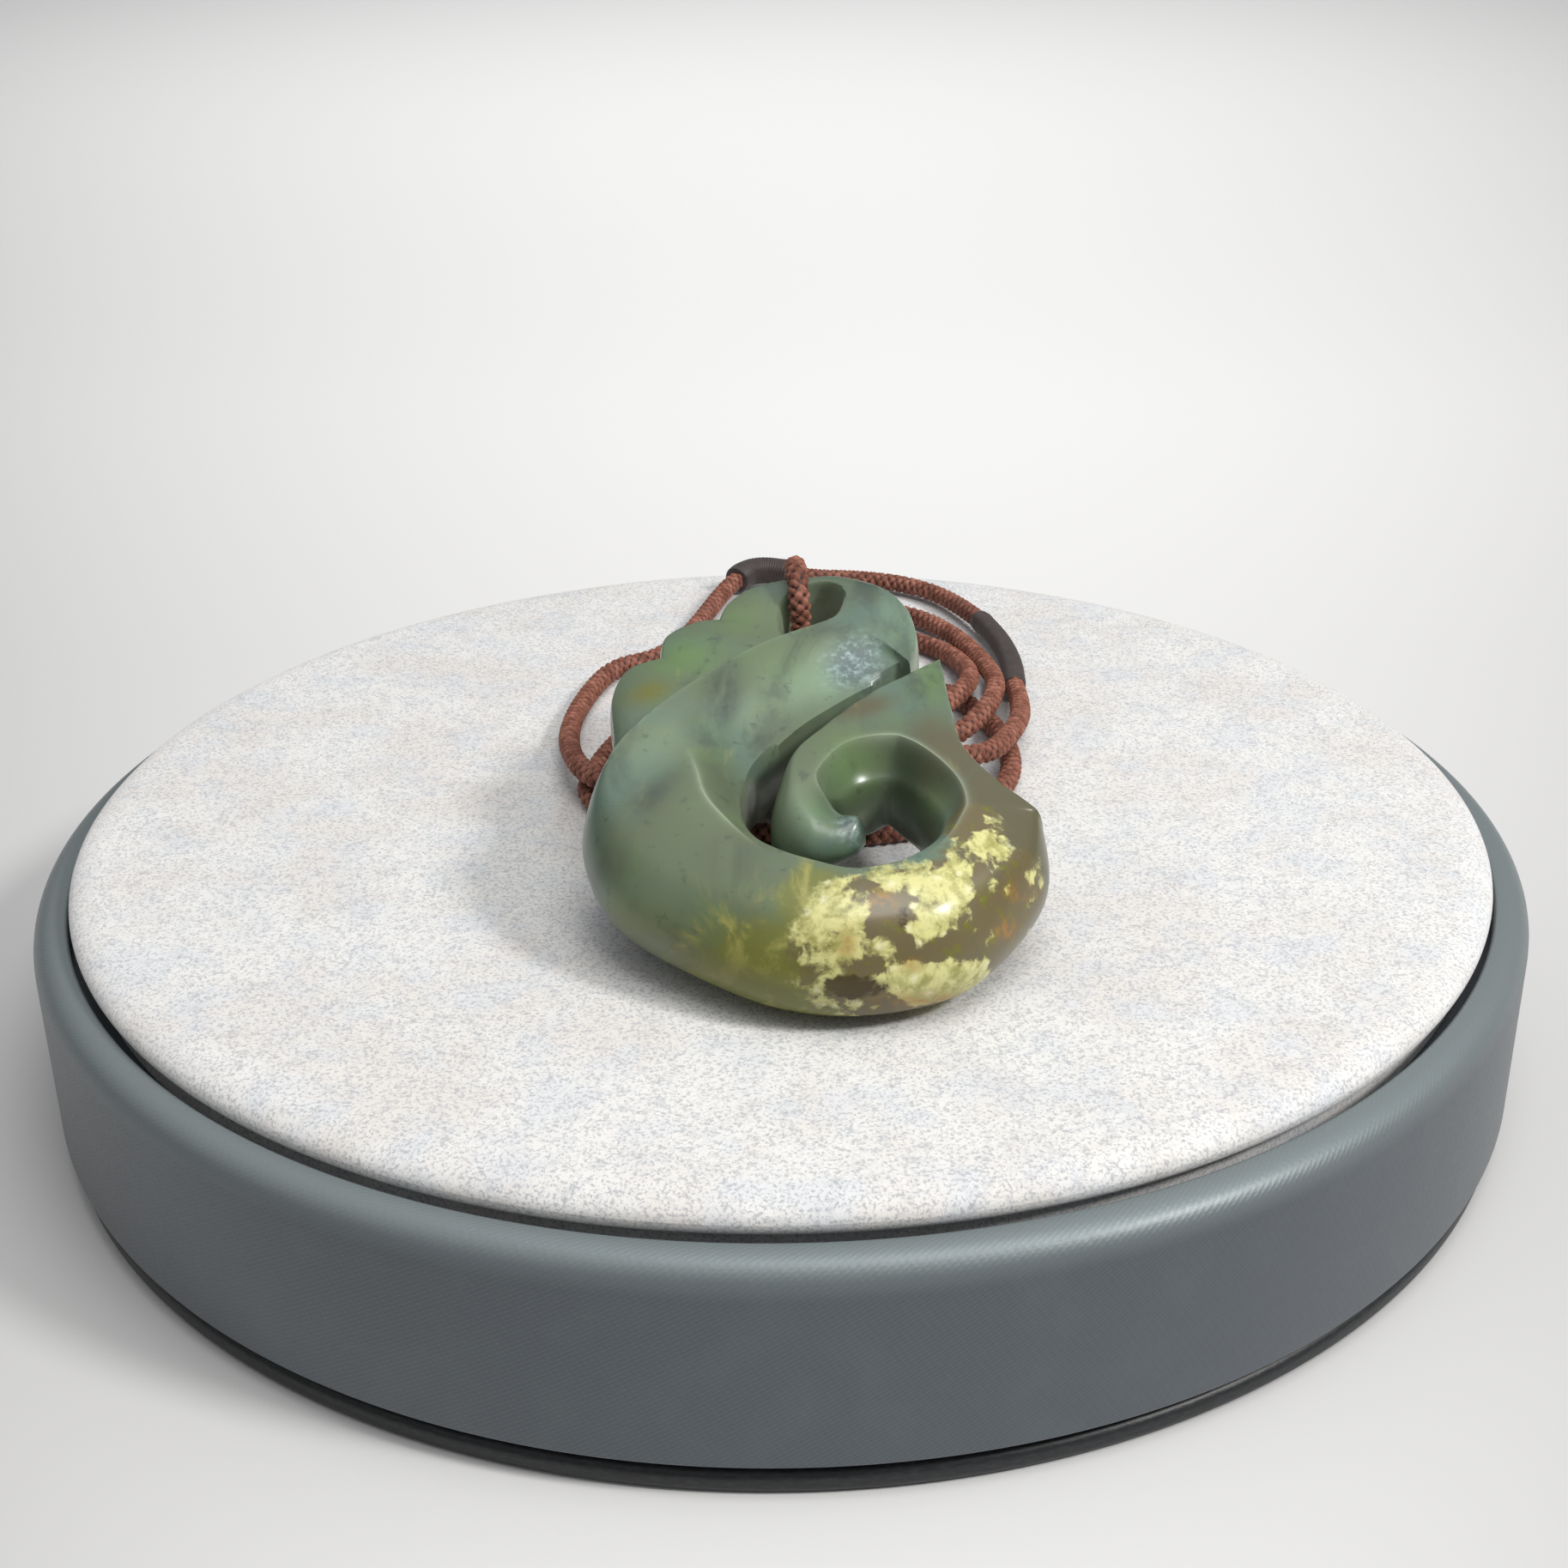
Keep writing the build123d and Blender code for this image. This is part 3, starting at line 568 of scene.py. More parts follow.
def grid_quads(rows: int, columns: int, closed: bool) -> Array:
    """Corner numbers of the quads of a grid.

    Args:
        rows: grid lines along the surface.
        columns: grid lines across it.
        closed: whether the last column joins the first.

    Returns:
        One row of four vertex numbers for each quad.
    """
    across = columns if closed else columns - 1
    i, k = np.meshgrid(np.arange(rows - 1), np.arange(across), indexing="ij")
    after = (k + 1) % columns
    corners = (i * columns + k, i * columns + after, (i + 1) * columns + after, (i + 1) * columns + k)
    return np.stack(corners, -1).reshape(-1, 4)


def make_piece(
    name: str,
    points: Array,
    faces: Sequence[Sequence[int]] | Array,
    material: Material,
    uv: Array | None = None,
    sharp_deg: float = 180.0,
) -> Piece:
    """Make a mesh object of the part, riding on its body.

    Args:
        name: object name.
        points: vertex places in metres.
        faces: vertex numbers of each face.
        material: its material.
        uv: map coordinates of each vertex.
        sharp_deg: edges that bend more than this stay sharp.

    Returns:
        The object.
    """
    mesh = bpy.data.meshes.new(name)
    mesh.from_pydata(points.tolist(), [], [list(map(int, face)) for face in faces])
    mesh.materials.append(material)
    mesh.polygons.foreach_set("use_smooth", np.ones(len(mesh.polygons), bool))
    if uv is not None:
        loops = np.zeros(len(mesh.loops), np.int32)
        mesh.loops.foreach_get("vertex_index", loops)
        mesh.uv_layers.new(name="surface").data.foreach_set("uv", uv[loops].astype(np.float32).ravel())
    if sharp_deg < 180:
        mesh.set_sharp_from_angle(angle=math.radians(sharp_deg))
    mesh.update()
    piece = new_object(name, mesh)
    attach(piece, "root")
    return piece


def tube_faces(rows: int, columns: int) -> list[list[int]]:
    """Faces of a closed tube whose end points follow the grid's points.

    Args:
        rows: rings along the tube.
        columns: points round a ring.

    Returns:
        Quads along the tube and a fan of triangles at each end.
    """
    k = np.arange(columns)
    after = (k + 1) % columns
    start, end, last = rows * columns, rows * columns + 1, (rows - 1) * columns
    first_fan = np.stack([np.full(columns, start), after, k], -1)
    last_fan = np.stack([np.full(columns, end), last + k, last + after], -1)
    return grid_quads(rows, columns, True).tolist() + first_fan.tolist() + last_fan.tolist()


def hold_values(piece: Piece, name: str, values: Array) -> None:
    """Keep one number for each vertex on a piece's mesh.

    Args:
        piece: the piece.
        name: the attribute's name.
        values: the numbers.
    """
    attribute = piece.data.attributes.new(name, "FLOAT", "POINT")
    attribute.data.foreach_set("value", np.asarray(values, np.float32))


def wrap_uv(piece: Piece, uv: Array, whole: float) -> None:
    """Give a revolved piece its map, with the last column's faces running on to the whole turn.

    Args:
        piece: the piece.
        uv: map place of each vertex.
        whole: map length of the whole turn.
    """
    mesh = piece.data
    loops = np.zeros(len(mesh.loops), np.int32)
    mesh.loops.foreach_get("vertex_index", loops)
    counts = np.zeros(len(mesh.polygons), np.int32)
    mesh.polygons.foreach_get("loop_total", counts)
    placed = uv[loops]
    face = np.repeat(np.arange(len(counts)), counts)
    furthest = np.zeros(len(counts))
    np.maximum.at(furthest, face, placed[:, 0])
    seam = 0.1 * whole
    crossing = (furthest[face] > whole - seam) & (placed[:, 0] < seam)
    placed[crossing, 0] += whole
    mesh.uv_layers.new(name="surface").data.foreach_set("uv", placed.astype(np.float32).ravel())


def full_turn(count: int) -> Array:
    """Evenly spaced angles once round, in radians."""
    return np.linspace(0, 2 * math.pi, count, endpoint=False)


def new_object(name: str, data: bpy.types.ID) -> Piece:
    """Put mesh, camera or lamp data in the scene as an object."""
    thing = bpy.data.objects.new(name, data)
    bpy.context.scene.collection.objects.link(thing)
    return thing


def even_line(line: Array, step: float) -> tuple[Array, Array]:
    """Space points evenly along a line, by interpolating each coordinate over its length.

    Args:
        line: points along the line.
        step: distance between the new points.

    Returns:
        The new points and the length up to each.
    """
    lengths = np.concatenate([[0], np.cumsum(np.linalg.norm(np.diff(line, axis=0), axis=1))])
    marks = np.linspace(0, lengths[-1], max(2, round(lengths[-1] / step)) + 1)
    return np.stack([np.interp(marks, lengths, line[:, k]) for k in range(3)], -1), marks


def frames(line: Array) -> tuple[Array, Array]:
    """Two directions across a line at each of its points.

    The first leans from +Z to +X as the line turns upright, so it never meets the line: it is
    (1 - w) Z + w X less its part along the line, where w is the line's steepness squared.

    Args:
        line: points along the line.

    Returns:
        The two unit directions.
    """
    along = np.gradient(line, axis=0)
    along /= np.linalg.norm(along, axis=1)[:, None]
    lean = along[:, 2:3] ** 2
    first = (1 - lean) * np.array([0.0, 0.0, 1.0]) + lean * np.array([1.0, 0.0, 0.0])
    first -= along * (first * along).sum(1)[:, None]
    first /= np.linalg.norm(first, axis=1)[:, None]
    return first, np.cross(along, first)


def sweep(
    names: tuple[str, str, str],
    line: Array,
    marks: Array,
    radius: Array,
    ply: Array,
    map_radius: float,
    material: Material,
) -> Piece:
    """Carry a ring along a line, close both ends, and note on the mesh how high each point stands.

    Args:
        names: the piece's name, its CAD node and a material slot name, which is not used.
        line: points along the line.
        marks: the length up to each point.
        radius: radius on the grid of points and angles.
        ply: height in the winding, on the same grid.
        map_radius: map length of one radian round the line, in millimetres.
        material: its finish.

    Returns:
        The piece.
    """
    name, node, slot = names
    first, second = frames(line)
    angles = full_turn(radius.shape[1])
    ring = np.cos(angles)[:, None] * first[:, None] + np.sin(angles)[:, None] * second[:, None]
    surface = line[:, None] + radius[..., None] * ring
    points = np.concatenate([surface.reshape(-1, 3), line[:1], line[-1:]])
    spread = np.stack(np.broadcast_arrays(marks[:, None] / MM, angles * map_radius), -1)
    uv = np.concatenate([spread.reshape(-1, 2), np.zeros((2, 2))])
    piece = make_piece(name, points, tube_faces(*radius.shape), material, uv)
    hold_values(piece, "ply", np.append(ply.ravel(), [1, 1]))
    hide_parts(node)
    return piece


@dataclass(frozen=True)
class Greenstone:
    """Polished greenstone: clouded sage green, with stains, painted shade in its openings and painted
    highlights along its crisp edges, all placed by the mesh's attributes.
    """

    sage: Triple = srgb(96, 108, 84)
    mist: Triple = srgb(90, 112, 100)
    leaf: Triple = srgb(102, 130, 80)
    pale: Triple = srgb(140, 164, 140)
    smoke: Triple = srgb(50, 59, 57)
    frost: Triple = srgb(146, 168, 162)
    slate: Triple = srgb(84, 100, 102)
    # Painted highlight along the crisp edges and scoop creases.
    rim: Triple = srgb(186, 198, 174)
    # Painted shade for the inside of the openings.
    hollow_shade: Triple = srgb(24, 40, 22)
    moss: Triple = srgb(112, 116, 58)
    straw: Triple = srgb(152, 149, 84)
    cream: Triple = srgb(206, 203, 140)
    chalk: Triple = srgb(220, 218, 176)
    olive: Triple = srgb(106, 106, 36)
    rust: Triple = srgb(158, 112, 42)
    umber: Triple = srgb(60, 45, 14)
    earth: Triple = srgb(104, 94, 66)
    ash: Triple = srgb(91, 88, 66)
    cloud_size: float = 15 * MM
    clump_size: float = 1.7 * MM
    roughness: float = 0.27

    def green_body(self, nodes: Nodes, place: Socket) -> Socket:
        """Sage ground with blue-green mist, brighter leaf green, smoky streaks and frosted flecks.

        Args:
            nodes: the material's nodes.
            place: object coordinates.

        Returns:
            The colour.
        """
        along_band = nodes.mapped(place, (1.0, 0.45, 1.0), math.radians(-30))
        clouds = nodes.noise(place, self.cloud_size, 4, 0.55, 0.4)
        patches = nodes.noise(place, 0.4 * self.cloud_size, 4, 0.6)
        streaks = nodes.noise(along_band, 0.5 * self.cloud_size, 5, 0.62, 0.6)
        flecks = nodes.noise(place, 0.7 * MM, 4, 0.7)
        spotted = nodes.noise(place, 1.3 * MM, 3, 0.6)
        body = nodes.layer(self.sage, clouds, 0.38, 0.64, self.mist)
        body = nodes.layer(body, patches, 0.50, 0.72, self.leaf, 0.45)
        body = nodes.stained(body, "pale", nodes.spread(streaks, 0.35, 1.25), self.pale)
        body = nodes.stained(body, "leaf", nodes.spread(patches, 0.55, 1.15), self.leaf)
        veil = nodes.times(nodes.between(streaks, 0.52, 0.70), 0.55)
        smoke = nodes.times(nodes.attribute("smoke"), nodes.between(streaks, 0.30, 0.58))
        body = nodes.mix(nodes.calc("MAXIMUM", veil, smoke), body, self.smoke)
        spots = nodes.times(nodes.between(spotted, 0.60, 0.72), nodes.spread(clouds, 0.2, 0.9))
        body = nodes.mix(nodes.times(spots, 0.75), body, self.smoke)
        frosted = nodes.layer(self.slate, flecks, 0.42, 0.68, self.frost)
        edge = nodes.times(nodes.attribute("frost"), nodes.spread(flecks, 0.3, 1.5))
        return nodes.layer(body, edge, 0.10, 0.95, frosted)

    def rind(self, nodes: Nodes, place: Socket) -> Socket:
        """Clumps of cream and straw in an earthy ground, as in weathered rind.

        Args:
            nodes: the material's nodes.
            place: object coordinates.

        Returns:
            The colour.
        """
        wander = {0: nodes.noise(place, 3.5 * MM, 3, 0.5, output="Color"), "Scale": 2.2 * MM}
        shift = nodes.make("ShaderNodeVectorMath", wander, operation="SCALE").outputs[0]
        torn = nodes.make("ShaderNodeVectorMath", {0: place, 1: shift}, operation="ADD").outputs[0]
        grains = nodes.cells(torn, self.clump_size, 0.25)
        mottle = nodes.noise(torn, 5.5 * MM, 4, 0.6)
        fine = nodes.noise(torn, 1.2 * MM, 4, 0.65)
        ground = nodes.layer(self.earth, mottle, 0.50, 0.72, self.ash)
        ground = nodes.layer(ground, fine, 0.52, 0.66, self.olive)
        clumps = nodes.layer(self.straw, fine, 0.34, 0.62, self.cream)
        clumps = nodes.layer(clumps, grains, 0.30, 0.08, self.chalk, 0.7)
        lumpy = nodes.plus(
            nodes.spread(mottle, -1.3, 1.3),
            nodes.spread(grains, 0.45, -0.65),
            nodes.spread(fine, -0.9, 0.9),
            nodes.times(nodes.attribute("clump"), 0.72),
        )
        colour = nodes.layer(ground, lumpy, 0.26, 0.66, clumps)
        colour = nodes.stained(colour, "rust", nodes.between(fine, 0.40, 0.56), self.rust)
        noises = (nodes.spread(fine, -0.8, 0.8), nodes.spread(mottle, -1.0, 1.0))
        return nodes.layer(colour, nodes.plus(nodes.attribute("umber"), *noises), 0.40, 0.75, self.umber)

    def build(self) -> Material:
        """Layer the clouds and stains, paint shade into the openings and highlights along the crisp edges,
        and polish them.

        Returns:
            The material.
        """
        nodes = new_material("greenstone")
        place = nodes.coordinates()
        drift = nodes.noise(place, 4.5 * MM, 4, 0.6, 0.5)
        wisps = nodes.noise(
            nodes.mapped(place, (1.0, 0.35, 1.0), math.radians(55)), 3.2 * MM, 5, 0.68, 0.8
        )
        grit = nodes.noise(place, 0.9 * MM, 4, 0.7)
        ashen = nodes.plus(nodes.attribute("ash"), nodes.spread(drift, -0.22, 0.22))
        body = nodes.layer(self.green_body(nodes, place), ashen, 0.25, 0.80, self.ash)
        golden = nodes.plus(nodes.attribute("gold"), nodes.spread(wisps, -0.9, 0.9))
        gilt = nodes.layer(self.moss, wisps, 0.46, 0.66, self.straw)
        body = nodes.layer(body, golden, 0.15, 0.95, gilt)
        noises = (nodes.spread(drift, -0.55, 0.55), nodes.spread(grit, -0.5, 0.5))
        edge = nodes.plus(nodes.attribute("stain"), *noises)
        body = nodes.layer(body, edge, 0.32, 0.72, self.rind(nodes, place))
        body = nodes.stained(body, "olive", nodes.spread(drift, 0.5, 1.3), self.olive)
        # Painted shade inside the openings and painted highlights along the crisp edges.
        painted_shade_and_highlight = (("hollow_shade", 0.8, self.hollow_shade), ("well", 0.85, self.hollow_shade), ("rim", 0.6, self.rim))
        for name, share, colour in painted_shade_and_highlight:
            body = nodes.stained(body, name, share, colour)
        cloudy = nodes.noise(place, 6 * MM)
        return nodes.finish(
            Base_Color=body,
            Roughness=nodes.spread(cloudy, self.roughness - 0.05, self.roughness + 0.10),
            IOR=1.61,
            Specular_IOR_Level=0.35,
            Subsurface_Weight=0.12,
            Subsurface_Radius=(0.8, 1.0, 0.5),
            Subsurface_Scale=0.8 * MM,
            Coat_Weight=0.12,
            Coat_Roughness=0.16,
            Normal=nodes.bump(nodes.noise(place, 0.8 * MM, 3, 0.6), 0.02 * MM, 0.35),
        )


@dataclass(frozen=True)
class PlaitedYarn:
    """Waxed red-brown yarn; the mesh holds how high each point stands in the plait."""

    light: Triple = srgb(160, 104, 86)
    middle: Triple = srgb(112, 62, 46)
    dark_and_painted_shade: Triple = srgb(30, 12, 9)
    plum: Triple = srgb(92, 52, 46)
    roughness: float = 0.62

    def build(self) -> Material:
        """Colour the yarn with soft variation and fine fibres, and paint shade between the strands where
        the plait is low.

        Returns:
            The material.
        """
        nodes = new_material("plaited_yarn")
        place = nodes.coordinates()
        tone = nodes.noise(place, 1.4 * MM, 3, 0.6)
        drift = nodes.noise(place, 14 * MM, 2, 0.5)
        fibres = nodes.noise(nodes.mapped(nodes.coordinates("UV"), (1.0, 3.2, 1.0), 0.8), 0.32, 3, 0.65)
        yarn = nodes.layer(self.middle, tone, 0.35, 0.68, self.light)
        yarn = nodes.layer(yarn, drift, 0.48, 0.70, self.plum, 0.6)
        # Painted shade between the strands, where the plait's height is low.
        yarn = nodes.layer(yarn, nodes.attribute("ply"), 0.80, 0.24, self.dark_and_painted_shade)
        return nodes.finish(
            Base_Color=nodes.layer(yarn, fibres, 0.5, 0.75, self.dark_and_painted_shade, 0.35),
            Roughness=self.roughness,
            Specular_IOR_Level=0.35,
            Sheen_Weight=0.25,
            Sheen_Roughness=0.5,
            Sheen_Tint=srgb(214, 170, 150),
            Normal=nodes.bump(fibres, 0.05 * MM, 0.7),
        )


@dataclass(frozen=True)
class WhippingThread:
    """Dark, tightly wound waxed thread."""

    light: Triple = srgb(76, 65, 62)
    dark_and_painted_shade: Triple = srgb(24, 18, 17)
    roughness: float = 0.48

    def build(self) -> Material:
        """Vary the thread's tone softly and paint shade between its turns.

        Returns:
            The material.
        """
        nodes = new_material("whipping_thread")
        tone = nodes.noise(nodes.coordinates(), 1.2 * MM, 3, 0.6)
        fibres = nodes.noise(nodes.mapped(nodes.coordinates("UV"), (4.0, 1.0, 1.0)), 0.3, 3, 0.6)
        thread = nodes.mix(nodes.spread(tone, 0.1, 0.9), self.dark_and_painted_shade, self.light)
        return nodes.finish(
            # Painted shade between the turns, where the winding is low.
            Base_Color=nodes.layer(thread, nodes.attribute("ply"), 0.5, 0.0, self.dark_and_painted_shade),
            Roughness=self.roughness,
            Specular_IOR_Level=0.4,
            Sheen_Weight=0.15,
            Normal=nodes.bump(fibres, 0.03 * MM, 0.5),
        )


@dataclass(frozen=True)
class Suede:
    """Pale grey speckled suede cloth with a short nap."""

    light: Triple = srgb(220, 219, 217)
    grey: Triple = srgb(146, 150, 158)
    cool: Triple = srgb(206, 209, 213)
    warm: Triple = srgb(214, 210, 206)
    speck_size: float = 0.27 * MM
    cloud_size: float = 9 * MM

    def build(self) -> Material:
        """Speckle the cloth and brush its nap into soft clouds.

        Returns:
            The material.
        """
        nodes = new_material("suede")
        place = nodes.coordinates()
        specks = nodes.noise(place, self.speck_size, 2, 0.7)
        tufts = nodes.noise(place, 1.0 * MM, 4, 0.65)
        clouds = nodes.noise(place, self.cloud_size)
        drifts = nodes.noise(place, 0.6 * self.cloud_size, 3, 0.6)
        cloth = nodes.layer(self.light, clouds, 0.40, 0.66, self.warm)
        cloth = nodes.layer(cloth, drifts, 0.46, 0.68, self.cool, 0.7)
        cloth = nodes.layer(cloth, specks, 0.46, 0.66, self.grey, 0.65)
        nap = nodes.plus(nodes.times(specks, 0.5), nodes.times(tufts, 0.6))
        return nodes.finish(
            Base_Color=nodes.layer(cloth, tufts, 0.50, 0.72, self.grey, 0.30),
            Roughness=0.92,
            Specular_IOR_Level=0.15,
            Sheen_Weight=0.3,
            Sheen_Roughness=0.6,
            Normal=nodes.bump(nap, 0.10 * MM, 0.7),
        )


@dataclass(frozen=True)
class Leatherette:
    """Slate grey leatherette, softly glossy, with a very fine diagonal twill and a painted highlight along
    the top of the rim.
    """

    slate: Triple = srgb(74, 79, 86)
    shade: Triple = srgb(54, 59, 65)
    worn: Triple = srgb(84, 92, 96)
    # A lighter band painted on the top of the rim as its highlight, and the heights where it starts and
    # ends.
    rim: Triple = srgb(104, 112, 114)
    highlight_from: float = 17.0 * MM
    highlight_to: float = 19.8 * MM
    line_pitch: float = 0.34
    rise_deg: float = 32.0
    roughness: float = 0.42

    def build(self) -> Material:
        """Emboss lines that rise to the right across the surface map.

        The height is a sine wave of the distance across the lines, x sin(rise) - y cos(rise), with
        x round the stand and y up its side, plus a weaker one along them.

        Returns:
            The material.
        """
        nodes = new_material("leatherette")
        place = nodes.coordinates()
        x, y, _ = nodes.split(nodes.coordinates("UV"))
        turns = 2 * math.pi / self.line_pitch
        sine = math.sin(math.radians(self.rise_deg)) * turns
        cosine = math.cos(math.radians(self.rise_deg)) * turns
        over = nodes.calc("SUBTRACT", nodes.times(x, sine), nodes.times(y, cosine))
        along = nodes.plus(nodes.times(x, cosine), nodes.times(y, sine))
        weave = nodes.times(nodes.calc("SINE", nodes.times(along, 0.6)), 0.4)
        grain = nodes.spread(nodes.plus(nodes.calc("SINE", over), weave), 0.5, 0.85)
        tone = nodes.noise(place, 5 * MM)
        scuffs = nodes.noise(place, 0.5 * MM, 3, 0.6)
        skin = nodes.layer(self.shade, grain, 0.05, 0.95, self.slate)
        skin = nodes.layer(skin, tone, 0.45, 0.75, self.worn, 0.20)
        relief = nodes.plus(grain, nodes.times(scuffs, 0.8))
        # The rim's painted highlight is layered in by height.
        return nodes.finish(
            Base_Color=nodes.layer(skin, nodes.split(place)[2], self.highlight_from, self.highlight_to, self.rim),
            Roughness=nodes.spread(scuffs, self.roughness - 0.06, self.roughness + 0.10),
            Specular_IOR_Level=0.75,
            Specular_Tint=(0.86, 0.97, 1.0),
            Coat_Weight=0.25,
            Coat_Roughness=0.35,
            Normal=nodes.bump(relief, 0.035 * MM, 0.8),
        )


@dataclass(frozen=True)
class FootBoard:
    """Slate black covering of the foot disc."""

    black: Triple = srgb(24, 26, 29)
    grey: Triple = srgb(42, 45, 48)

    def build(self) -> Material:
        """Near black with a faint grain and a dull gloss.

        Returns:
            The material.
        """
        nodes = new_material("foot_board")
        fibres = nodes.noise(nodes.mapped(nodes.coordinates(), (1.0, 1.0, 4.0)), 0.8 * MM, 4, 0.6)
        return nodes.finish(
            Base_Color=nodes.layer(self.black, fibres, 0.4, 0.75, self.grey),
            Roughness=0.42,
            Normal=nodes.bump(fibres, 0.05 * MM, 0.5),
        )


@dataclass
class PhotoCamera:
    """The camera that took the view: it looks along +Y, pitched down and slightly rolled."""

    position: Triple = (0.41 * MM, -179.80 * MM, 107.47 * MM)
    pitch_deg: float = 25.006
    roll_deg: float = -0.709
    lens_mm: float = 48.65
    sensor_mm: float = 36.0

    def place(self) -> None:
        """Make it the scene's camera."""
        data = bpy.data.cameras.new("photo_camera")
        data.lens = self.lens_mm
        data.sensor_width = self.sensor_mm
        data.clip_start = 10 * MM
        data.clip_end = 10.0
        camera = new_object("photo_camera", data)
        look = Matrix.Rotation(math.radians(90 - self.pitch_deg), 4, "X")
        roll = Matrix.Rotation(math.radians(self.roll_deg), 4, "Z")
        camera.matrix_world = Matrix.Translation(self.position) @ look @ roll
        bpy.context.scene.camera = camera


@dataclass
class Cord:
    """The plaited cord: a mesh tube whose relief is a plain plait of two sets of strands."""

    diameter: float = 2.1 * MM
    strands: int = 4
    lay_length: float = 4.0 * MM
    relief: float = 0.42
    step: float = 0.15 * MM
    sides: int = 20
    samples_per_run: int = 32
    rise_share: float = 0.35
    points: Array = field(default_factory=lambda: np.zeros((0, 3)))

    def read_line(self) -> Array:
        """Read the smooth line of a NURBS spline that has the route as its control points.

        Returns:
            Points along it in metres, with heights taken from the top of the pad.
        """
        route = np.array(CORD_ROUTE) * MM + [0.0, 0.0, PAD_TOP]
        curve = bpy.data.curves.new("cord_line", "CURVE")
        curve.dimensions = "3D"
        curve.resolution_u = self.samples_per_run
        spline = curve.splines.new("NURBS")
        spline.points.add(len(route) - 1)
        spline.points.foreach_set("co", np.column_stack([route, np.ones(len(route))]).ravel())
        spline.order_u = 3
        spline.use_endpoint_u = True
        holder = bpy.data.objects.new("cord_line", curve)
        line = bpy.data.meshes.new_from_object(holder)
        points = np.zeros(len(line.vertices) * 3)
        line.vertices.foreach_get("co", points)
        bpy.data.objects.remove(holder)
        bpy.data.curves.remove(curve)
        bpy.data.meshes.remove(line)
        return points.reshape(-1, 3)

    def plait(self, marks: Array, angles: Array) -> Array:
        """Height share of the plait from 0, between strands, to 1, on top of one.

        Two sets of strands wind opposite ways; in every second diamond the one set lies on top.
        A strand is round across (a half circle) and arches along the diamond (a half sine wave).

        Args:
            marks: length along the cord.
            angles: angle round the cord.

        Returns:
            The height share on the grid of lengths and angles.
        """
        turn = self.strands * angles[None, :] / (2 * math.pi)
        wound = self.strands * marks[:, None] / self.lay_length
        one, other = turn + wound, turn - wound
        on_top = (np.floor(one) + np.floor(other)) % 2 < 0.5
        across = np.where(on_top, one % 1, other % 1)
        length = np.where(on_top, other % 1, one % 1)
        bulge = np.sqrt(np.clip(1 - (2 * across - 1) ** 2, 0, 1))
        arch = np.sin(math.pi * length) ** 0.5
        return bulge * (self.rise_share + (1 - self.rise_share) * arch)

    def build(self, material: Material) -> Piece:
        """Carry the plaited section along the line and close both ends.

        Args:
            material: the yarn.

        Returns:
            The cord.
        """
        self.points, marks = even_line(self.read_line(), self.step)
        height = self.plait(marks, full_turn(self.sides))
        radius = self.diameter / 2 * (1 - self.relief * (1 - height))
        names = ("plaited_cord", "cord", "cord")
        return sweep(names, self.points, marks, radius, height, self.diameter / 2 / MM, material)


@dataclass
class Whipping:
    """Thread wound round the cord from a start to an end, with a rounded bulge at both ends."""

    name: str
    node: str
    diameter: float
    end_diameter: float
    pitch: float = 0.34 * MM
    relief: float = 0.09 * MM
    end_length: float = 0.35 * MM
    collar_length: float = 1.1 * MM
    collar_height: float = 0.06 * MM
    collar_width: float = 0.6 * MM
    arc_points: int = 400
    overlap: float = 0.6 * MM
    sides: int = 32
    rows_per_turn: int = 7

    def arc(self, start: Array, end: Array, along: Array) -> Array:
        """Arc that leaves the start in a given direction and reaches the end.

        With f the angle between direction and chord, the point at share s lies on the circle of
        radius chord / (2 sin f), at angle f (2 s - 1) from its middle, bulging level outwards.

        Args:
            start: first point.
            end: last point.
            along: direction at the start.

        Returns:
            Points on the arc.
        """
        chord = end - start
        reach = np.linalg.norm(chord)
        straight = chord / reach
        outwards = np.cross([0.0, 0.0, 1.0], straight)
        outwards /= np.linalg.norm(outwards)
        lean = math.acos(float(np.clip(straight @ along, -1, 1)))
        radius = reach / (2 * math.sin(lean))
        angle = lean * np.linspace(-1, 1, self.arc_points)[:, None]
        middle = (start + end) / 2
        offset = radius * (np.cos(angle) - math.cos(lean))
        return middle + radius * np.sin(angle) * straight + offset * outwards

    def build(self, line: Array, material: Material) -> Piece:
        """Wind the thread round a line.

        The radius is the whipping's own less the relief between turns, which is a row of half
        circles along the helix. At both ends it swells into a collar and then falls along a
        quarter round to the end diameter.

        Args:
            line: points from start to end.
            material: the thread.

        Returns:
            The whipping.
        """
        line, marks = even_line(line, self.pitch / self.rows_per_turn)
        turn = (marks[:, None] / self.pitch + full_turn(self.sides) / (2 * math.pi)) % 1
        thread = np.sqrt(np.clip(1 - (2 * turn - 1) ** 2, 0, 1))
        from_end = np.minimum(marks, marks[-1] - marks)[:, None]
        fall = np.clip(from_end / self.end_length, 0, 1)
        quarter = np.sqrt(1 - (1 - fall) ** 2)
        collar = self.collar_height * np.exp(-(((from_end - self.collar_length) / self.collar_width) ** 2))
        wound = self.diameter / 2 - self.relief * (1 - thread) * fall + collar
        radius = self.end_diameter / 2 + (wound - self.end_diameter / 2) * quarter
        names = (self.name, self.node, "whipping")
        return sweep(names, line, marks, radius, thread, 1.0, material)


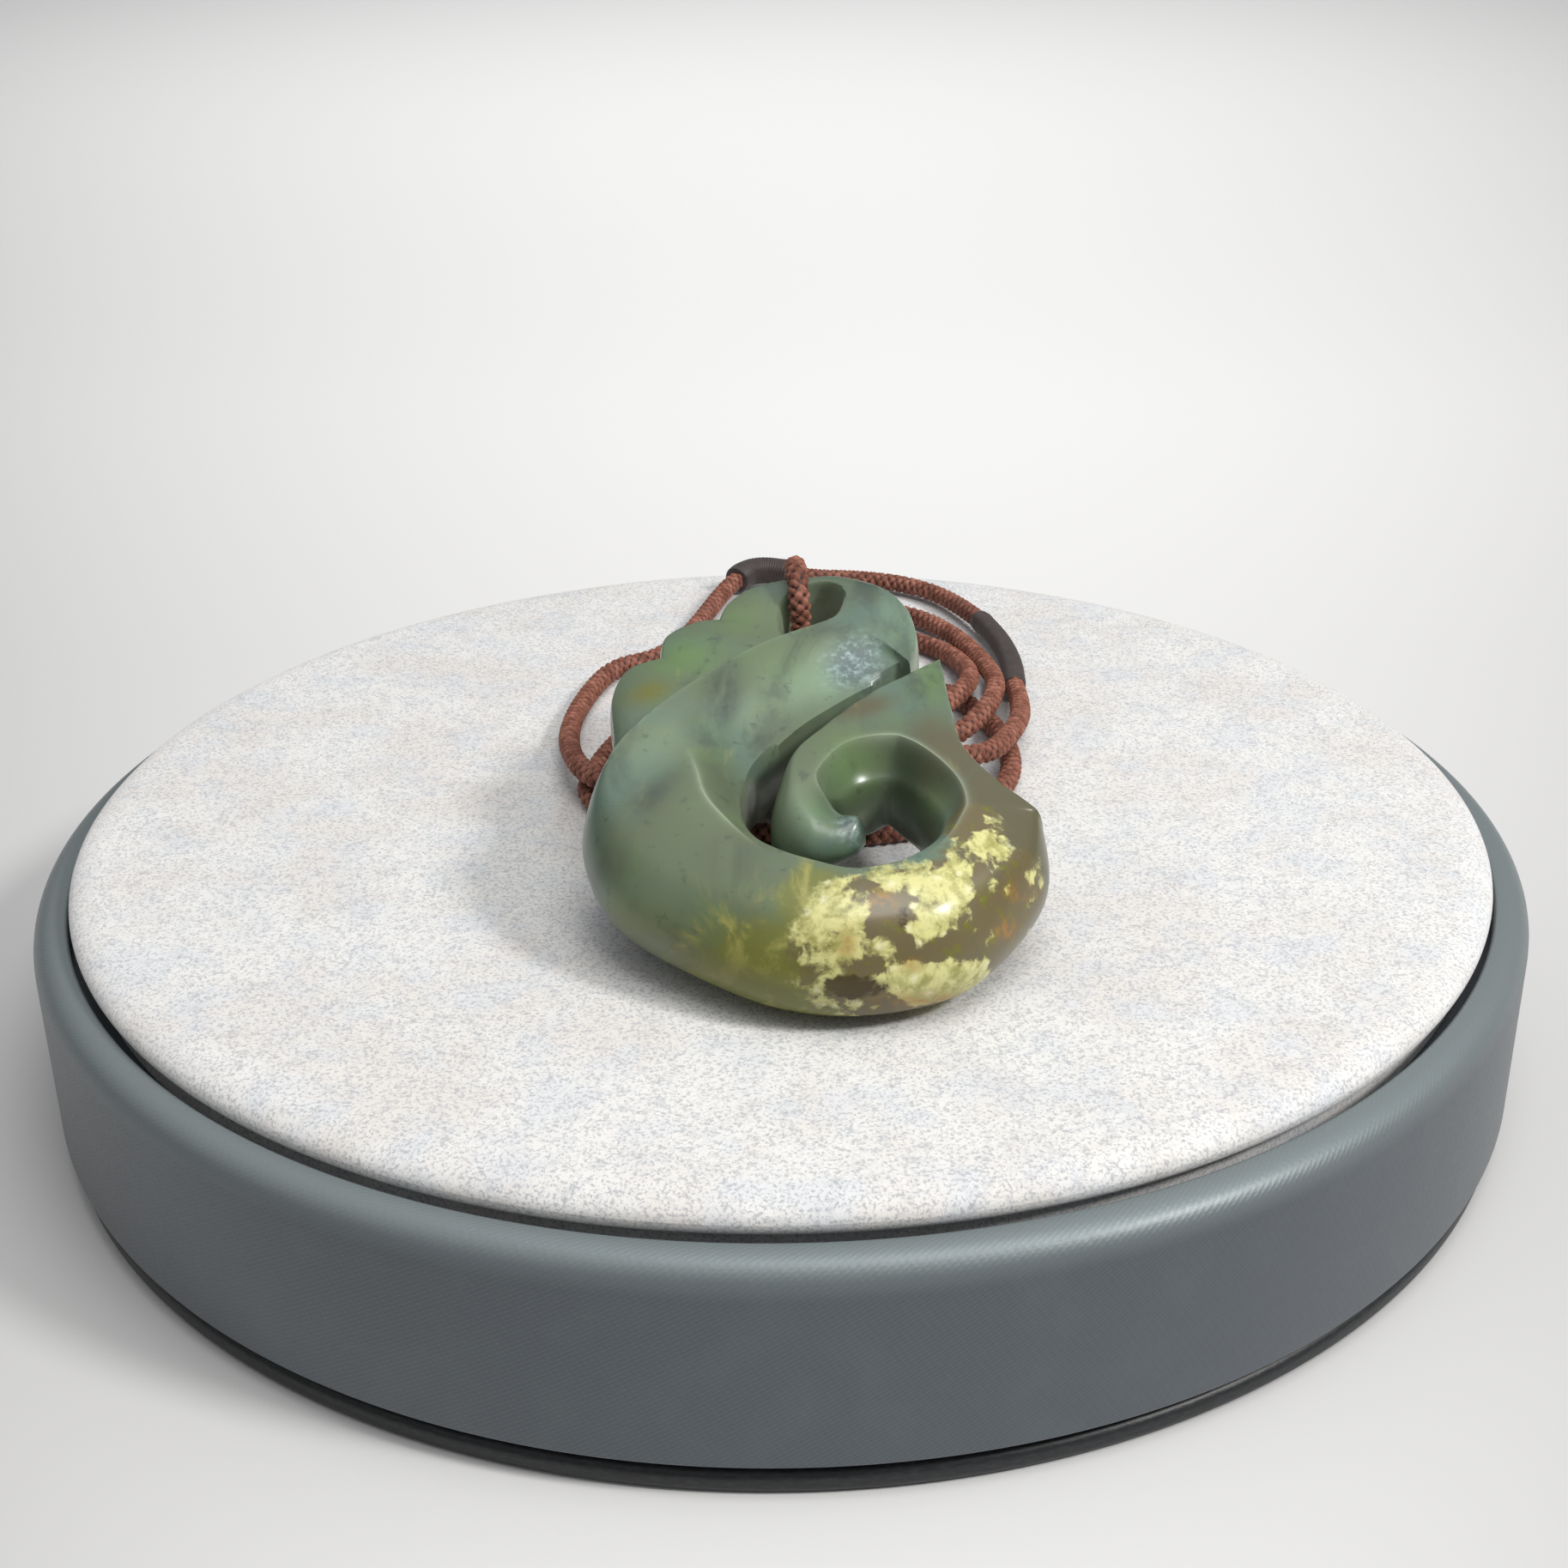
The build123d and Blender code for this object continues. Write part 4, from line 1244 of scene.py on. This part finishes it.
@dataclass
class Pendant:
    """The carved manaia: a scooped, notched band that curls into a beaked head and a hooked tongue."""

    width: float = 37.24 * MM
    length: float = 52.62 * MM
    thickness: float = 9.1 * MM
    tilt_deg: float = 12.0
    bottom_x: float = 2.64 * MM
    bottom_y: float = -43.94 * MM
    clearance: float = 1.25 * MM
    steps: int = 12
    columns_inside_fold: int = 16
    columns_outside_fold: int = 24
    back_rounding_extra: float = 0.03
    fold_lowest: float = 0.12
    fold_highest: float = 0.97
    right_round_limit: float = 0.5
    left_round_limit: float = 0.6
    back_round_limit: float = 0.10
    weld_distance: float = 0.002 * MM
    # Painted highlight along crisp edges: its width, and the rounding at which it has faded.
    edge_width: float = 0.20 * MM
    crisp_limit: float = 0.22
    edge_from: float = 3.3
    edge_slope: float = 1.15
    bottom_reach: float = 14.0
    bottom_fade: float = 4.0
    # Painted shade on the walls of the openings below a height, and how much the edge highlight fades
    # inside them.
    hollow_shade_top: float = 3.0
    hollow_shade_depth: float = 3.6
    hollow_highlight_fade: float = 0.75
    crest_scoop: float = 0.3
    sharp_deg: float = 38.0

    def ease(self, values: Array, pointed: Array) -> Array:
        """Carry the table's columns smoothly from row to row.

        Each stretch is the cubic with the rows' values and slopes at its ends; a pointed row has
        slope 0, which makes a corner in the outline.

        Args:
            values: the rows' values.
            pointed: 1 for a row with a corner.

        Returns:
            Values at every station.
        """
        slope = np.gradient(values, axis=0) * (1 - pointed)[:, None]
        s = np.linspace(0, 1, self.steps, endpoint=False)[None, :, None]
        curve = (
            (2 * s**3 - 3 * s**2 + 1) * values[:-1, None]
            + (s**3 - 2 * s**2 + s) * slope[:-1, None]
            + (3 * s**2 - 2 * s**3) * values[1:, None]
            + (s**3 - s**2) * slope[1:, None]
        )
        return np.concatenate([curve.reshape(-1, values.shape[1]), values[-1:]])

    def rounded(self, distance: Array, radius: Array) -> Array:
        """Height share of a quarter-round edge: 0 at the rim, 1 a radius inside it."""
        inside = np.clip(distance / np.maximum(radius, self.weld_distance), 0, 1)
        return np.sqrt(1 - (1 - inside) ** 2)

    def edge_highlight(self, distance: Array, rounding: Array) -> Array:
        """Share of the painted highlight along an edge: exp(-distance / width), weaker where the edge is
        rounder.

        Args:
            distance: distance from the edge at each point.
            rounding: the edge's rounding at each section, as a share of the thickness.

        Returns:
            Shares from 0 to 1.
        """
        crisp = np.clip((self.crisp_limit - rounding) / (0.5 * self.crisp_limit), 0, 1)
        return np.exp(-distance / self.edge_width) * crisp[:, None]

    def clustered(self, count: int) -> Array:
        """Shares from 0 to 1 that lie closer together towards both ends, as half a cosine."""
        return (1 - np.cos(math.pi * np.linspace(0, 1, count + 1))) / 2

    def surface(self) -> tuple[Array, Array, Array, Array]:
        """The carving's points and triangles in its own frame.

        Every section of the band is a strip between its right and left outlines. At share t of
        the way across, the front's height is the line between its two edge heights, plus a crown
        of 4 t (1 - t), less a scoop that falls as (1 - (t / fold) ** 2) to the fold, all brought
        down to the rim by quarter rounds. The head and the band over it share one outline, on
        which the band stands up as a step.

        Returns:
            The points, the triangles, the share of painted highlight at each point along crisp edges and
            scoop creases, and its map place.
        """
        table = np.array([row[1:] for row in SECTIONS], float)
        column = {name: table[:, k] for k, name in enumerate(COLUMNS)}
        outline_unit = np.array([self.width, self.length]) / 100
        half = self.thickness / 2

        left = self.ease(table[:, 0:2], column["left_point"]) * outline_unit
        right = self.ease(table[:, 2:4], column["right_point"]) * outline_unit
        smooth = self.ease(table[:, 4:13], np.zeros(len(table)))
        value = {name: smooth[:, k] for k, name in enumerate(COLUMNS[4:13])}
        left_height = value["left_height"] * half
        right_height = value["right_height"] * half
        back = -value["back"] * half

        station = {name: k * self.steps for k, (name, *_) in enumerate(SECTIONS)}
        head_end = station["tail"]
        band = slice(station["seam_end"], station["seam_start"] + 1)
        head = slice(station["lobe_2a"], head_end + 1)
        left[head] = left[band][::-1]
        back[head] = back[band][::-1]
        right[head_end] = left[head_end]
        seam = left_height[head]
        stations = len(left)

        span = np.hypot(*(left - right).T)
        fold = value["fold"] * self.width / 100 / np.maximum(span, self.weld_distance)
        fold = np.clip(fold, self.fold_lowest, self.fold_highest)[:, None]
        inner = fold * self.clustered(self.columns_inside_fold)
        outer = fold + (1 - fold) * self.clustered(self.columns_outside_fold)[1:]
        across = np.concatenate([inner, outer], axis=1)
        plan = right[:, None] + (left - right)[:, None] * across[..., None]

        flat = right_height[:, None] + (left_height - right_height)[:, None] * across
        crown = (value["crown"] * half)[:, None] * 4 * across * (1 - across)
        scoop = (value["scoop"] * half)[:, None]
        fade = 1 + value["soft"][:, None]
        front = flat + crown - scoop * (1 - np.clip(across / fold, 0, 1) ** 2) ** fade

        from_right = across * span[:, None]
        from_left = (1 - across) * span[:, None]
        right_round = np.minimum(value["right_round"] * self.thickness, span * self.right_round_limit)
        left_round = np.minimum(value["left_round"] * self.thickness, span * self.left_round_limit)
        extra = self.back_rounding_extra * self.thickness
        front_left = self.rounded(from_left, left_round[:, None])
        tight_round = np.minimum(left_round, self.back_round_limit * self.thickness)
        back_left = self.rounded(from_left, tight_round[:, None] + extra)
        front_left[head] = 1
        back_left[head] = 1
        back_left[band] = 1
        front_share = self.rounded(from_right, right_round[:, None]) * front_left
        back_share = self.rounded(from_right, right_round[:, None] + extra) * back_left

        middle_right = (right_height - scoop[:, 0] + back) / 2
        middle_left = (left_height + back) / 2
        rim_left = middle_left.copy()
        rim_left[band] = seam[::-1]
        front_rim = middle_right[:, None] + (rim_left - middle_right)[:, None] * across
        back_rim = middle_right[:, None] + (middle_left - middle_right)[:, None] * across
        front = front_rim + (front - front_rim) * front_share
        rear = back_rim + (back[:, None] - back_rim) * back_share

        for face in (front, rear):
            face[:, 0] = middle_right
            face[:, -1] = middle_left
        front[band, -1] = seam[::-1]
        front[head, -1] = seam
        rear[band, -1] = back[band]
        rear[head, -1] = back[head]
        share = np.linspace(0, 1, across.shape[1])
        tail_middle = (seam[-1] + back[head_end]) / 2
        for face, edge in ((front, seam[-1]), (rear, back[head_end])):
            face[head_end] = tail_middle + (edge - tail_middle) * share

        from_left[head] = self.width
        # Painted highlight along crisp edges, and along the crease where a deep scoop ends.
        right_highlight = self.edge_highlight(from_right, value["right_round"])
        left_highlight = self.edge_highlight(from_left, value["left_round"])
        edge_highlight = np.maximum(right_highlight, left_highlight)
        crisp_fold = np.clip(value["scoop"] / self.crest_scoop, 0, 1) * np.clip(1 - value["soft"], 0, 1)
        crest_highlight = np.exp(-np.abs(across - fold) * span[:, None] / self.edge_width) * crisp_fold[:, None]
        points = np.concatenate([
            np.dstack([plan, front]).reshape(-1, 3),
            np.dstack([plan, rear]).reshape(-1, 3),
        ])
        line = np.concatenate([np.maximum(edge_highlight, crest_highlight).ravel(), edge_highlight.ravel()])
        section = np.broadcast_to(np.arange(stations)[:, None] / self.steps, across.shape)
        uv = np.tile(np.stack([section, across], -1).reshape(-1, 2), (2, 1))
        triangles = self.triangles(stations, across.shape[1], band, head)

        places = np.round(points / self.weld_distance).astype(np.int64)
        _, first, welded = np.unique(places, axis=0, return_index=True, return_inverse=True)
        triangles = welded.reshape(-1)[triangles]
        a, b, c = triangles.T
        solid = (a != b) & (b != c) & (a != c)
        return points[first], triangles[solid], line[first], uv[first]

    def triangles(self, stations: int, columns: int, band: slice, head: slice) -> Array:
        """Triangles of front and rear, the tongue's end and the closed seam under the band.

        Args:
            stations: number of sections.
            columns: points across one face of a section.
            band: the sections of the band along the seam.
            head: the sections of the head along the seam.

        Returns:
            Vertex numbers of the triangles.
        """
        last = columns - 1
        rear_start = stations * columns
        front_quads = grid_quads(stations, columns, False)[:, [0, 3, 2, 1]]
        rear_quads = front_quads[:, ::-1] + rear_start
        k = np.arange(last)
        tip_quads = np.stack([k, k + 1, rear_start + k + 1, rear_start + k], -1)
        quads = np.concatenate([front_quads, rear_quads, tip_quads])
        tail = np.concatenate([
            (head.stop - 1) * columns + np.arange(last, -1, -1),
            rear_start + (head.stop - 1) * columns + np.arange(columns),
        ])
        apex = np.full(len(tail) - 1, (band.start - 1) * columns + last)
        tail_fan = np.stack([apex, tail[:-1], tail[1:]], -1)
        closers = np.array([
            [band.stop, band.stop - 1, band.stop - 1],
            [head.start - 1, head.start, head.start],
        ]) * columns + last
        closers[0, 1] += rear_start
        closers[1, 2] += rear_start
        return np.concatenate([quads[:, [0, 1, 2]], quads[:, [0, 2, 3]], tail_fan, closers])

    def laid_down(self, points: Array) -> Array:
        """Turn the carving by its tilt about X and set its lowest point a little over the pad."""
        tilt = math.radians(self.tilt_deg)
        x, y, z = points.T
        placed = np.stack([
            self.bottom_x + x,
            self.bottom_y + y * math.cos(tilt) - z * math.sin(tilt),
            y * math.sin(tilt) + z * math.cos(tilt),
        ], -1)
        placed[:, 2] += PAD_TOP + self.clearance - placed[:, 2].min()
        return placed

    def build(self, material: Material) -> Piece:
        """Carve the stone and note on the mesh its stains, the painted shade inside its openings and the
        painted highlights along its crisp edges.

        Near the bottom end a stain's y runs on down the rounded edge: it falls by edge_slope times
        the drop below the height edge_from.

        Args:
            material: the greenstone.

        Returns:
            The pendant.
        """
        points, triangles, line, uv = self.surface()
        placed = self.laid_down(points)
        piece = make_piece("manaia", placed, triangles, material, uv, self.sharp_deg)
        x, y, z = points.T / MM
        near_bottom = np.clip((self.bottom_reach - y) / self.bottom_fade, 0, 1)
        lowered = y + self.edge_slope * np.minimum(z - self.edge_from, 0) * near_bottom
        for name, patches in STAINS.items():
            hold_values(piece, name, cover(patches, x, lowered))
        # Painted shade on the walls of the openings, growing with depth below the face.
        hollow_cover = cover(SHADED_HOLLOWS, x, y)
        hold_values(piece, "well", hollow_cover * np.clip((self.hollow_shade_top - z) / self.hollow_shade_depth, 0, 1))
        # Painted highlight along the crisp edges, faded inside the openings.
        hold_values(piece, "rim", line * (1 - self.hollow_highlight_fade * hollow_cover))
        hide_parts("pendant")
        return piece


@dataclass
class Stand:
    """The round display stand: a covered drum with a sunk suede pad, on a thin foot disc."""

    diameter: float = 135.0 * MM
    height: float = 19.95 * MM
    rim_width: float = 3.1 * MM
    rim_rounding: float = 2.2 * MM
    foot_height: float = 2.0 * MM
    foot_inset: float = 0.6 * MM
    groove_height: float = 0.9 * MM
    groove_depth: float = 2.0 * MM
    pad_thickness: float = 5.4 * MM
    pad_gap: float = 0.25 * MM
    pad_shoulder: float = 3.0 * MM
    pad_shoulder_drop: float = 1.6 * MM
    pad_tuck: float = 1.4 * MM
    pad_unevenness: float = 0.05 * MM
    foot_rounding: float = 0.85 * MM
    small_rounding: float = 0.35 * MM
    turns: int = 360
    corner_points: int = 11
    sharp_deg: float = 50.0
    foot_step: float = 4.0 * MM
    drum_step: float = 1.2 * MM
    pad_step: float = 1.0 * MM
    pad_fade_power: int = 8

    def corner(
        self,
        profile: list[Array],
        corner: tuple[float, float],
        radii: tuple[float, float],
        start_deg: float,
    ) -> None:
        """Add a quarter of an ellipse to a profile.

        Args:
            profile: pieces of the profile so far.
            corner: centre of the quarter, as radius and height.
            radii: its half width and half height.
            start_deg: direction of its first point, from which it turns 90 degrees on.
        """
        angle = np.radians(start_deg + np.linspace(0, 90, self.corner_points))
        arc = [corner[0] + radii[0] * np.cos(angle), corner[1] + radii[1] * np.sin(angle)]
        profile.append(np.stack(arc, -1))

    def revolve(
        self,
        name: str,
        profile: Array,
        material: Material,
        node: str,
        wobble: Array | None = None,
    ) -> Piece:
        """Turn a profile about the stand's axis; its first and last points lie on the axis.

        The map runs round the stand at its rim's length and along the profile, in millimetres.

        Args:
            name: object name.
            profile: radius and height of each point.
            material: the finish.
            node: the CAD node that it stands for.
            wobble: height added on the grid of profile points and turns.

        Returns:
            The piece.
        """
        ring = profile[1:-1]
        angle = full_turn(self.turns)
        x = ring[:, :1] * np.cos(angle)
        y = ring[:, :1] * np.sin(angle)
        z = np.broadcast_to(ring[:, 1:], x.shape) + (0 if wobble is None else wobble)
        points = np.concatenate([
            np.stack([x, y, z], -1).reshape(-1, 3),
            [[0, 0, profile[0, 1]], [0, 0, z[-1].mean()]],
        ])
        faces = tube_faces(len(ring), self.turns)
        along = np.concatenate([[0], np.cumsum(np.hypot(*np.diff(ring, axis=0).T))]) / MM
        around = angle * self.diameter / 2 / MM
        uv = np.stack(np.broadcast_arrays(around[None], along[:, None]), -1).reshape(-1, 2)
        uv = np.concatenate([uv, [[0, 0], [0, along[-1]]]])
        piece = make_piece(name, points, faces, material, None, self.sharp_deg)
        wrap_uv(piece, uv, around[-1] + around[1])
        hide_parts(node)
        return piece

    def subdivided(self, profile: Array, step: float) -> Array:
        """Divide a profile's runs into steps no longer than a length."""
        runs = np.hypot(*np.diff(profile, axis=0).T)
        lengths = np.concatenate([[0], np.cumsum(runs)])
        counts = np.maximum(1, np.ceil(runs / step)).astype(int)
        marks = np.concatenate([
            np.linspace(low, high, count, endpoint=False)
            for low, high, count in zip(lengths[:-1], lengths[1:], counts)
        ] + [lengths[-1:]])
        return np.stack([np.interp(marks, lengths, profile[:, k]) for k in range(2)], -1)

    def build_foot(self, material: Material) -> Piece:
        """The thin foot disc, as a revolved profile with a rounded edge."""
        radius, curve = self.diameter / 2 - self.foot_inset, self.foot_rounding
        profile: list[Array] = [np.array([[0.0, 0.0]])]
        self.corner(profile, (radius - curve, curve), (curve, curve), -90)
        self.corner(profile, (radius - curve, self.foot_height - curve), (curve, curve), 0)
        profile.append(np.array([[0.0, self.foot_height]]))
        outline = self.subdivided(np.concatenate(profile), self.foot_step)
        return self.revolve("foot_disc", outline, material, "stand_foot")

    def build_drum(self, material: Material) -> Piece:
        """The drum with its groove, rounded rim and the well for the pad."""
        outer, inner = self.diameter / 2, self.diameter / 2 - self.rim_width
        bottom = self.foot_height + self.groove_height
        floor = PAD_TOP - self.pad_thickness
        small, big = self.small_rounding, self.rim_rounding
        profile: list[Array] = [
            np.array([[0.0, self.foot_height], [outer - self.groove_depth, self.foot_height]]),
            np.array([[outer - self.groove_depth, bottom]]),
        ]
        self.corner(profile, (outer - small, bottom + small), (small, small), -90)
        self.corner(profile, (outer - big, self.height - big), (big, big), 0)
        self.corner(profile, (inner + small, self.height - small), (small, small), 90)
        profile.append(np.array([[inner, floor], [0.0, floor]]))
        outline = self.subdivided(np.concatenate(profile), self.drum_step)
        return self.revolve("drum_cover", outline, material, "stand_base")

    def build_pad(self, material: Material) -> Piece:
        """The pad: a flat round cushion that bulges at its edge and is tucked in under the bulge.

        The edge is a flat quarter ellipse down to the widest ring and a quarter circle back in
        under it. The cloth is slightly uneven: a sum of four long plane waves in different
        directions, faded out at the edge.
        """
        radius = self.diameter / 2 - self.rim_width - self.pad_gap
        bottom, tuck = PAD_TOP - self.pad_thickness, self.pad_tuck
        across, drop = self.pad_shoulder, self.pad_shoulder_drop
        profile: list[Array] = [np.array([[0.0, bottom], [radius - tuck, bottom]])]
        self.corner(profile, (radius - tuck, PAD_TOP - drop), (tuck, tuck), -90)
        self.corner(profile, (radius - across, PAD_TOP - drop), (across, drop), 0)
        profile.append(np.array([[0.0, PAD_TOP]]))
        outline = self.subdivided(np.concatenate(profile), self.pad_step)
        ring = outline[1:-1]
        angle = full_turn(self.turns)
        x, y = ring[:, :1] * np.cos(angle), ring[:, :1] * np.sin(angle)
        waves = sum(
            np.sin((x * math.cos(turn) + y * math.sin(turn)) * 2 * math.pi / size + turn * 3)
            for turn, size in ((0.3, 17 * MM), (1.4, 23 * MM), (2.3, 13 * MM), (2.9, 31 * MM))
        ) / 4
        on_top = np.clip((ring[:, 1:] - bottom) / self.pad_thickness, 0, 1) ** self.pad_fade_power
        wobble = (waves - 1) * self.pad_unevenness * on_top
        piece = self.revolve("suede_pad", outline, material, "stand_pad", wobble)
        return piece


@dataclass(frozen=True)
class Lamp:
    """A round soft lamp: where it hangs, what it is aimed at, and its width and power."""

    name: str
    at: Triple
    aim: Triple
    width: float
    watts: float
    colour: Triple = (1.0, 0.985, 0.96)

    def hang(self) -> None:
        """Add the lamp to the scene."""
        data = bpy.data.lights.new(self.name, "AREA")
        data.shape = "DISK"
        data.size = self.width
        data.energy = self.watts
        data.color = self.colour
        lamp = new_object(self.name, data)
        turn = (Vector(self.at) - Vector(self.aim)).to_track_quat("Z", "Y")
        lamp.matrix_world = Matrix.Translation(self.at) @ turn.to_matrix().to_4x4()


@dataclass
class Studio:
    """A pale floor with a painted light falloff under a sky that brightens overhead, with a key, a top and
    a back lamp.
    """

    floor_size: float = 12.0
    # Floor colours that stand in for the light's falloff: painted shade at the front, painted light further
    # back.
    floor_shaded_front: Triple = srgb(211, 211, 211)
    floor_lit_back: Triple = srgb(238, 238, 238)
    front_y: float = -50 * MM
    back_y: float = 250 * MM
    side_shade: float = 0.2
    half_width: float = 82 * MM
    widening: float = 0.335
    horizon: float = 0.05
    zenith: float = 1.05
    key: Lamp = Lamp("key_lamp", (0.53, -0.27, 0.55), (0.0, 0.0, PAD_TOP), 0.15, 4.0)
    top: Lamp = Lamp("top_lamp", (0.08, -0.15, 0.48), (0.0, 0.0, PAD_TOP), 0.30, 1.0)
    back: Lamp = Lamp("back_lamp", (0.0, 0.6, 0.9), (0.0, 2.2, 0.0), 1.0, 5.5)

    def build(self) -> None:
        """Lay the floor, light the sky and hang the lamps."""
        side = self.floor_size / 2
        mesh = bpy.data.meshes.new("floor")
        corners = [(-side, -side, 0), (side, -side, 0), (side, side, 0), (-side, side, 0)]
        mesh.from_pydata(corners, [], [(0, 1, 2, 3)])
        floor = new_object("floor", mesh)
        mesh.materials.append(self.shaded_floor_paper())
        self.light_sky()
        for lamp in (self.key, self.top, self.back):
            lamp.hang()
        bpy.context.scene.view_settings.view_transform = "Standard"

    def shaded_floor_paper(self) -> Material:
        """Paper with a painted light falloff: paler further back and with painted shade towards both sides.

        The share darkened at (x, y) is side_shade * (x / width) ** 2, where the width grows evenly
        with y, and is half_width beside the stand's centre.

        Returns:
            The material.
        """
        nodes = new_material("shaded_floor_paper")
        x, y, _ = nodes.split(nodes.coordinates())
        width = nodes.calc("MAXIMUM", nodes.calc("MULTIPLY_ADD", y, self.widening, self.half_width), 0.05)
        across = nodes.calc("ABSOLUTE", nodes.calc("DIVIDE", x, width))
        sides = nodes.calc("MINIMUM", nodes.calc("POWER", across, 2.0), 1.0)
        # Painted light falloff: painted shade to the front and both sides.
        paper = nodes.layer(self.floor_shaded_front, y, self.front_y, self.back_y, self.floor_lit_back)
        return nodes.finish(
            Base_Color=nodes.mix(nodes.times(sides, self.side_shade), paper, (0.0, 0.0, 0.0)),
            Roughness=0.8,
            Specular_IOR_Level=0.1,
        )

    def light_sky(self) -> None:
        """Make a world whose strength grows with the square of the height above the horizon."""
        nodes = Nodes(bpy.data.worlds.new("studio"))
        above = nodes.calc("MAXIMUM", nodes.split(nodes.coordinates("Generated"))[2], 0.0)
        strength = nodes.spread(nodes.times(above, above), self.horizon, self.zenith)
        world = nodes.finish("Background", Strength=strength, Color=(0.985, 0.99, 1.0))
        bpy.context.scene.world = world


def main() -> None:
    """Build the camera, the cord and the other pieces in order, and report each."""
    logging.basicConfig(level=logging.INFO, format="%(message)s")
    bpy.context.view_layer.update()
    PhotoCamera().place()

    cord = Cord()
    thread = WhippingThread().build()
    cord_piece = cord.build(PlaitedYarn().build())
    line = cord.points
    right = Whipping("whipping_right", "cord_whipping_right", 2.35 * MM, 2.15 * MM)
    leaving = line[-1] - line[-3]
    leaving /= np.linalg.norm(leaving)
    arc = right.arc(line[-1], line[0], leaving)
    overlap = round(right.overlap / cord.step)
    joined = np.concatenate([line[-1 - overlap:-1], arc, line[1:1 + overlap]])
    right_piece = right.build(joined, thread)
    left = Whipping("whipping_left", "cord_whipping_left", 3.1 * MM, 2.7 * MM)
    low, high = (np.array(corner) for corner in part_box("cord_whipping_left"))
    inside = np.flatnonzero(((line > low) & (line < high)).all(1))
    left_piece = left.build(line[inside[0]:inside[-1] + 1], thread)

    pendant_piece = Pendant().build(Greenstone().build())
    stand = Stand()
    made = [
        cord_piece,
        right_piece,
        left_piece,
        pendant_piece,
        stand.build_foot(FootBoard().build()),
        stand.build_drum(Leatherette().build()),
        stand.build_pad(Suede().build()),
    ]
    Studio().build()
    for piece in made:
        mesh = piece.data
        LOG.info("%s: %d vertices, %d faces", piece.name, len(mesh.vertices), len(mesh.polygons))


if __name__ == "__main__":
    main()
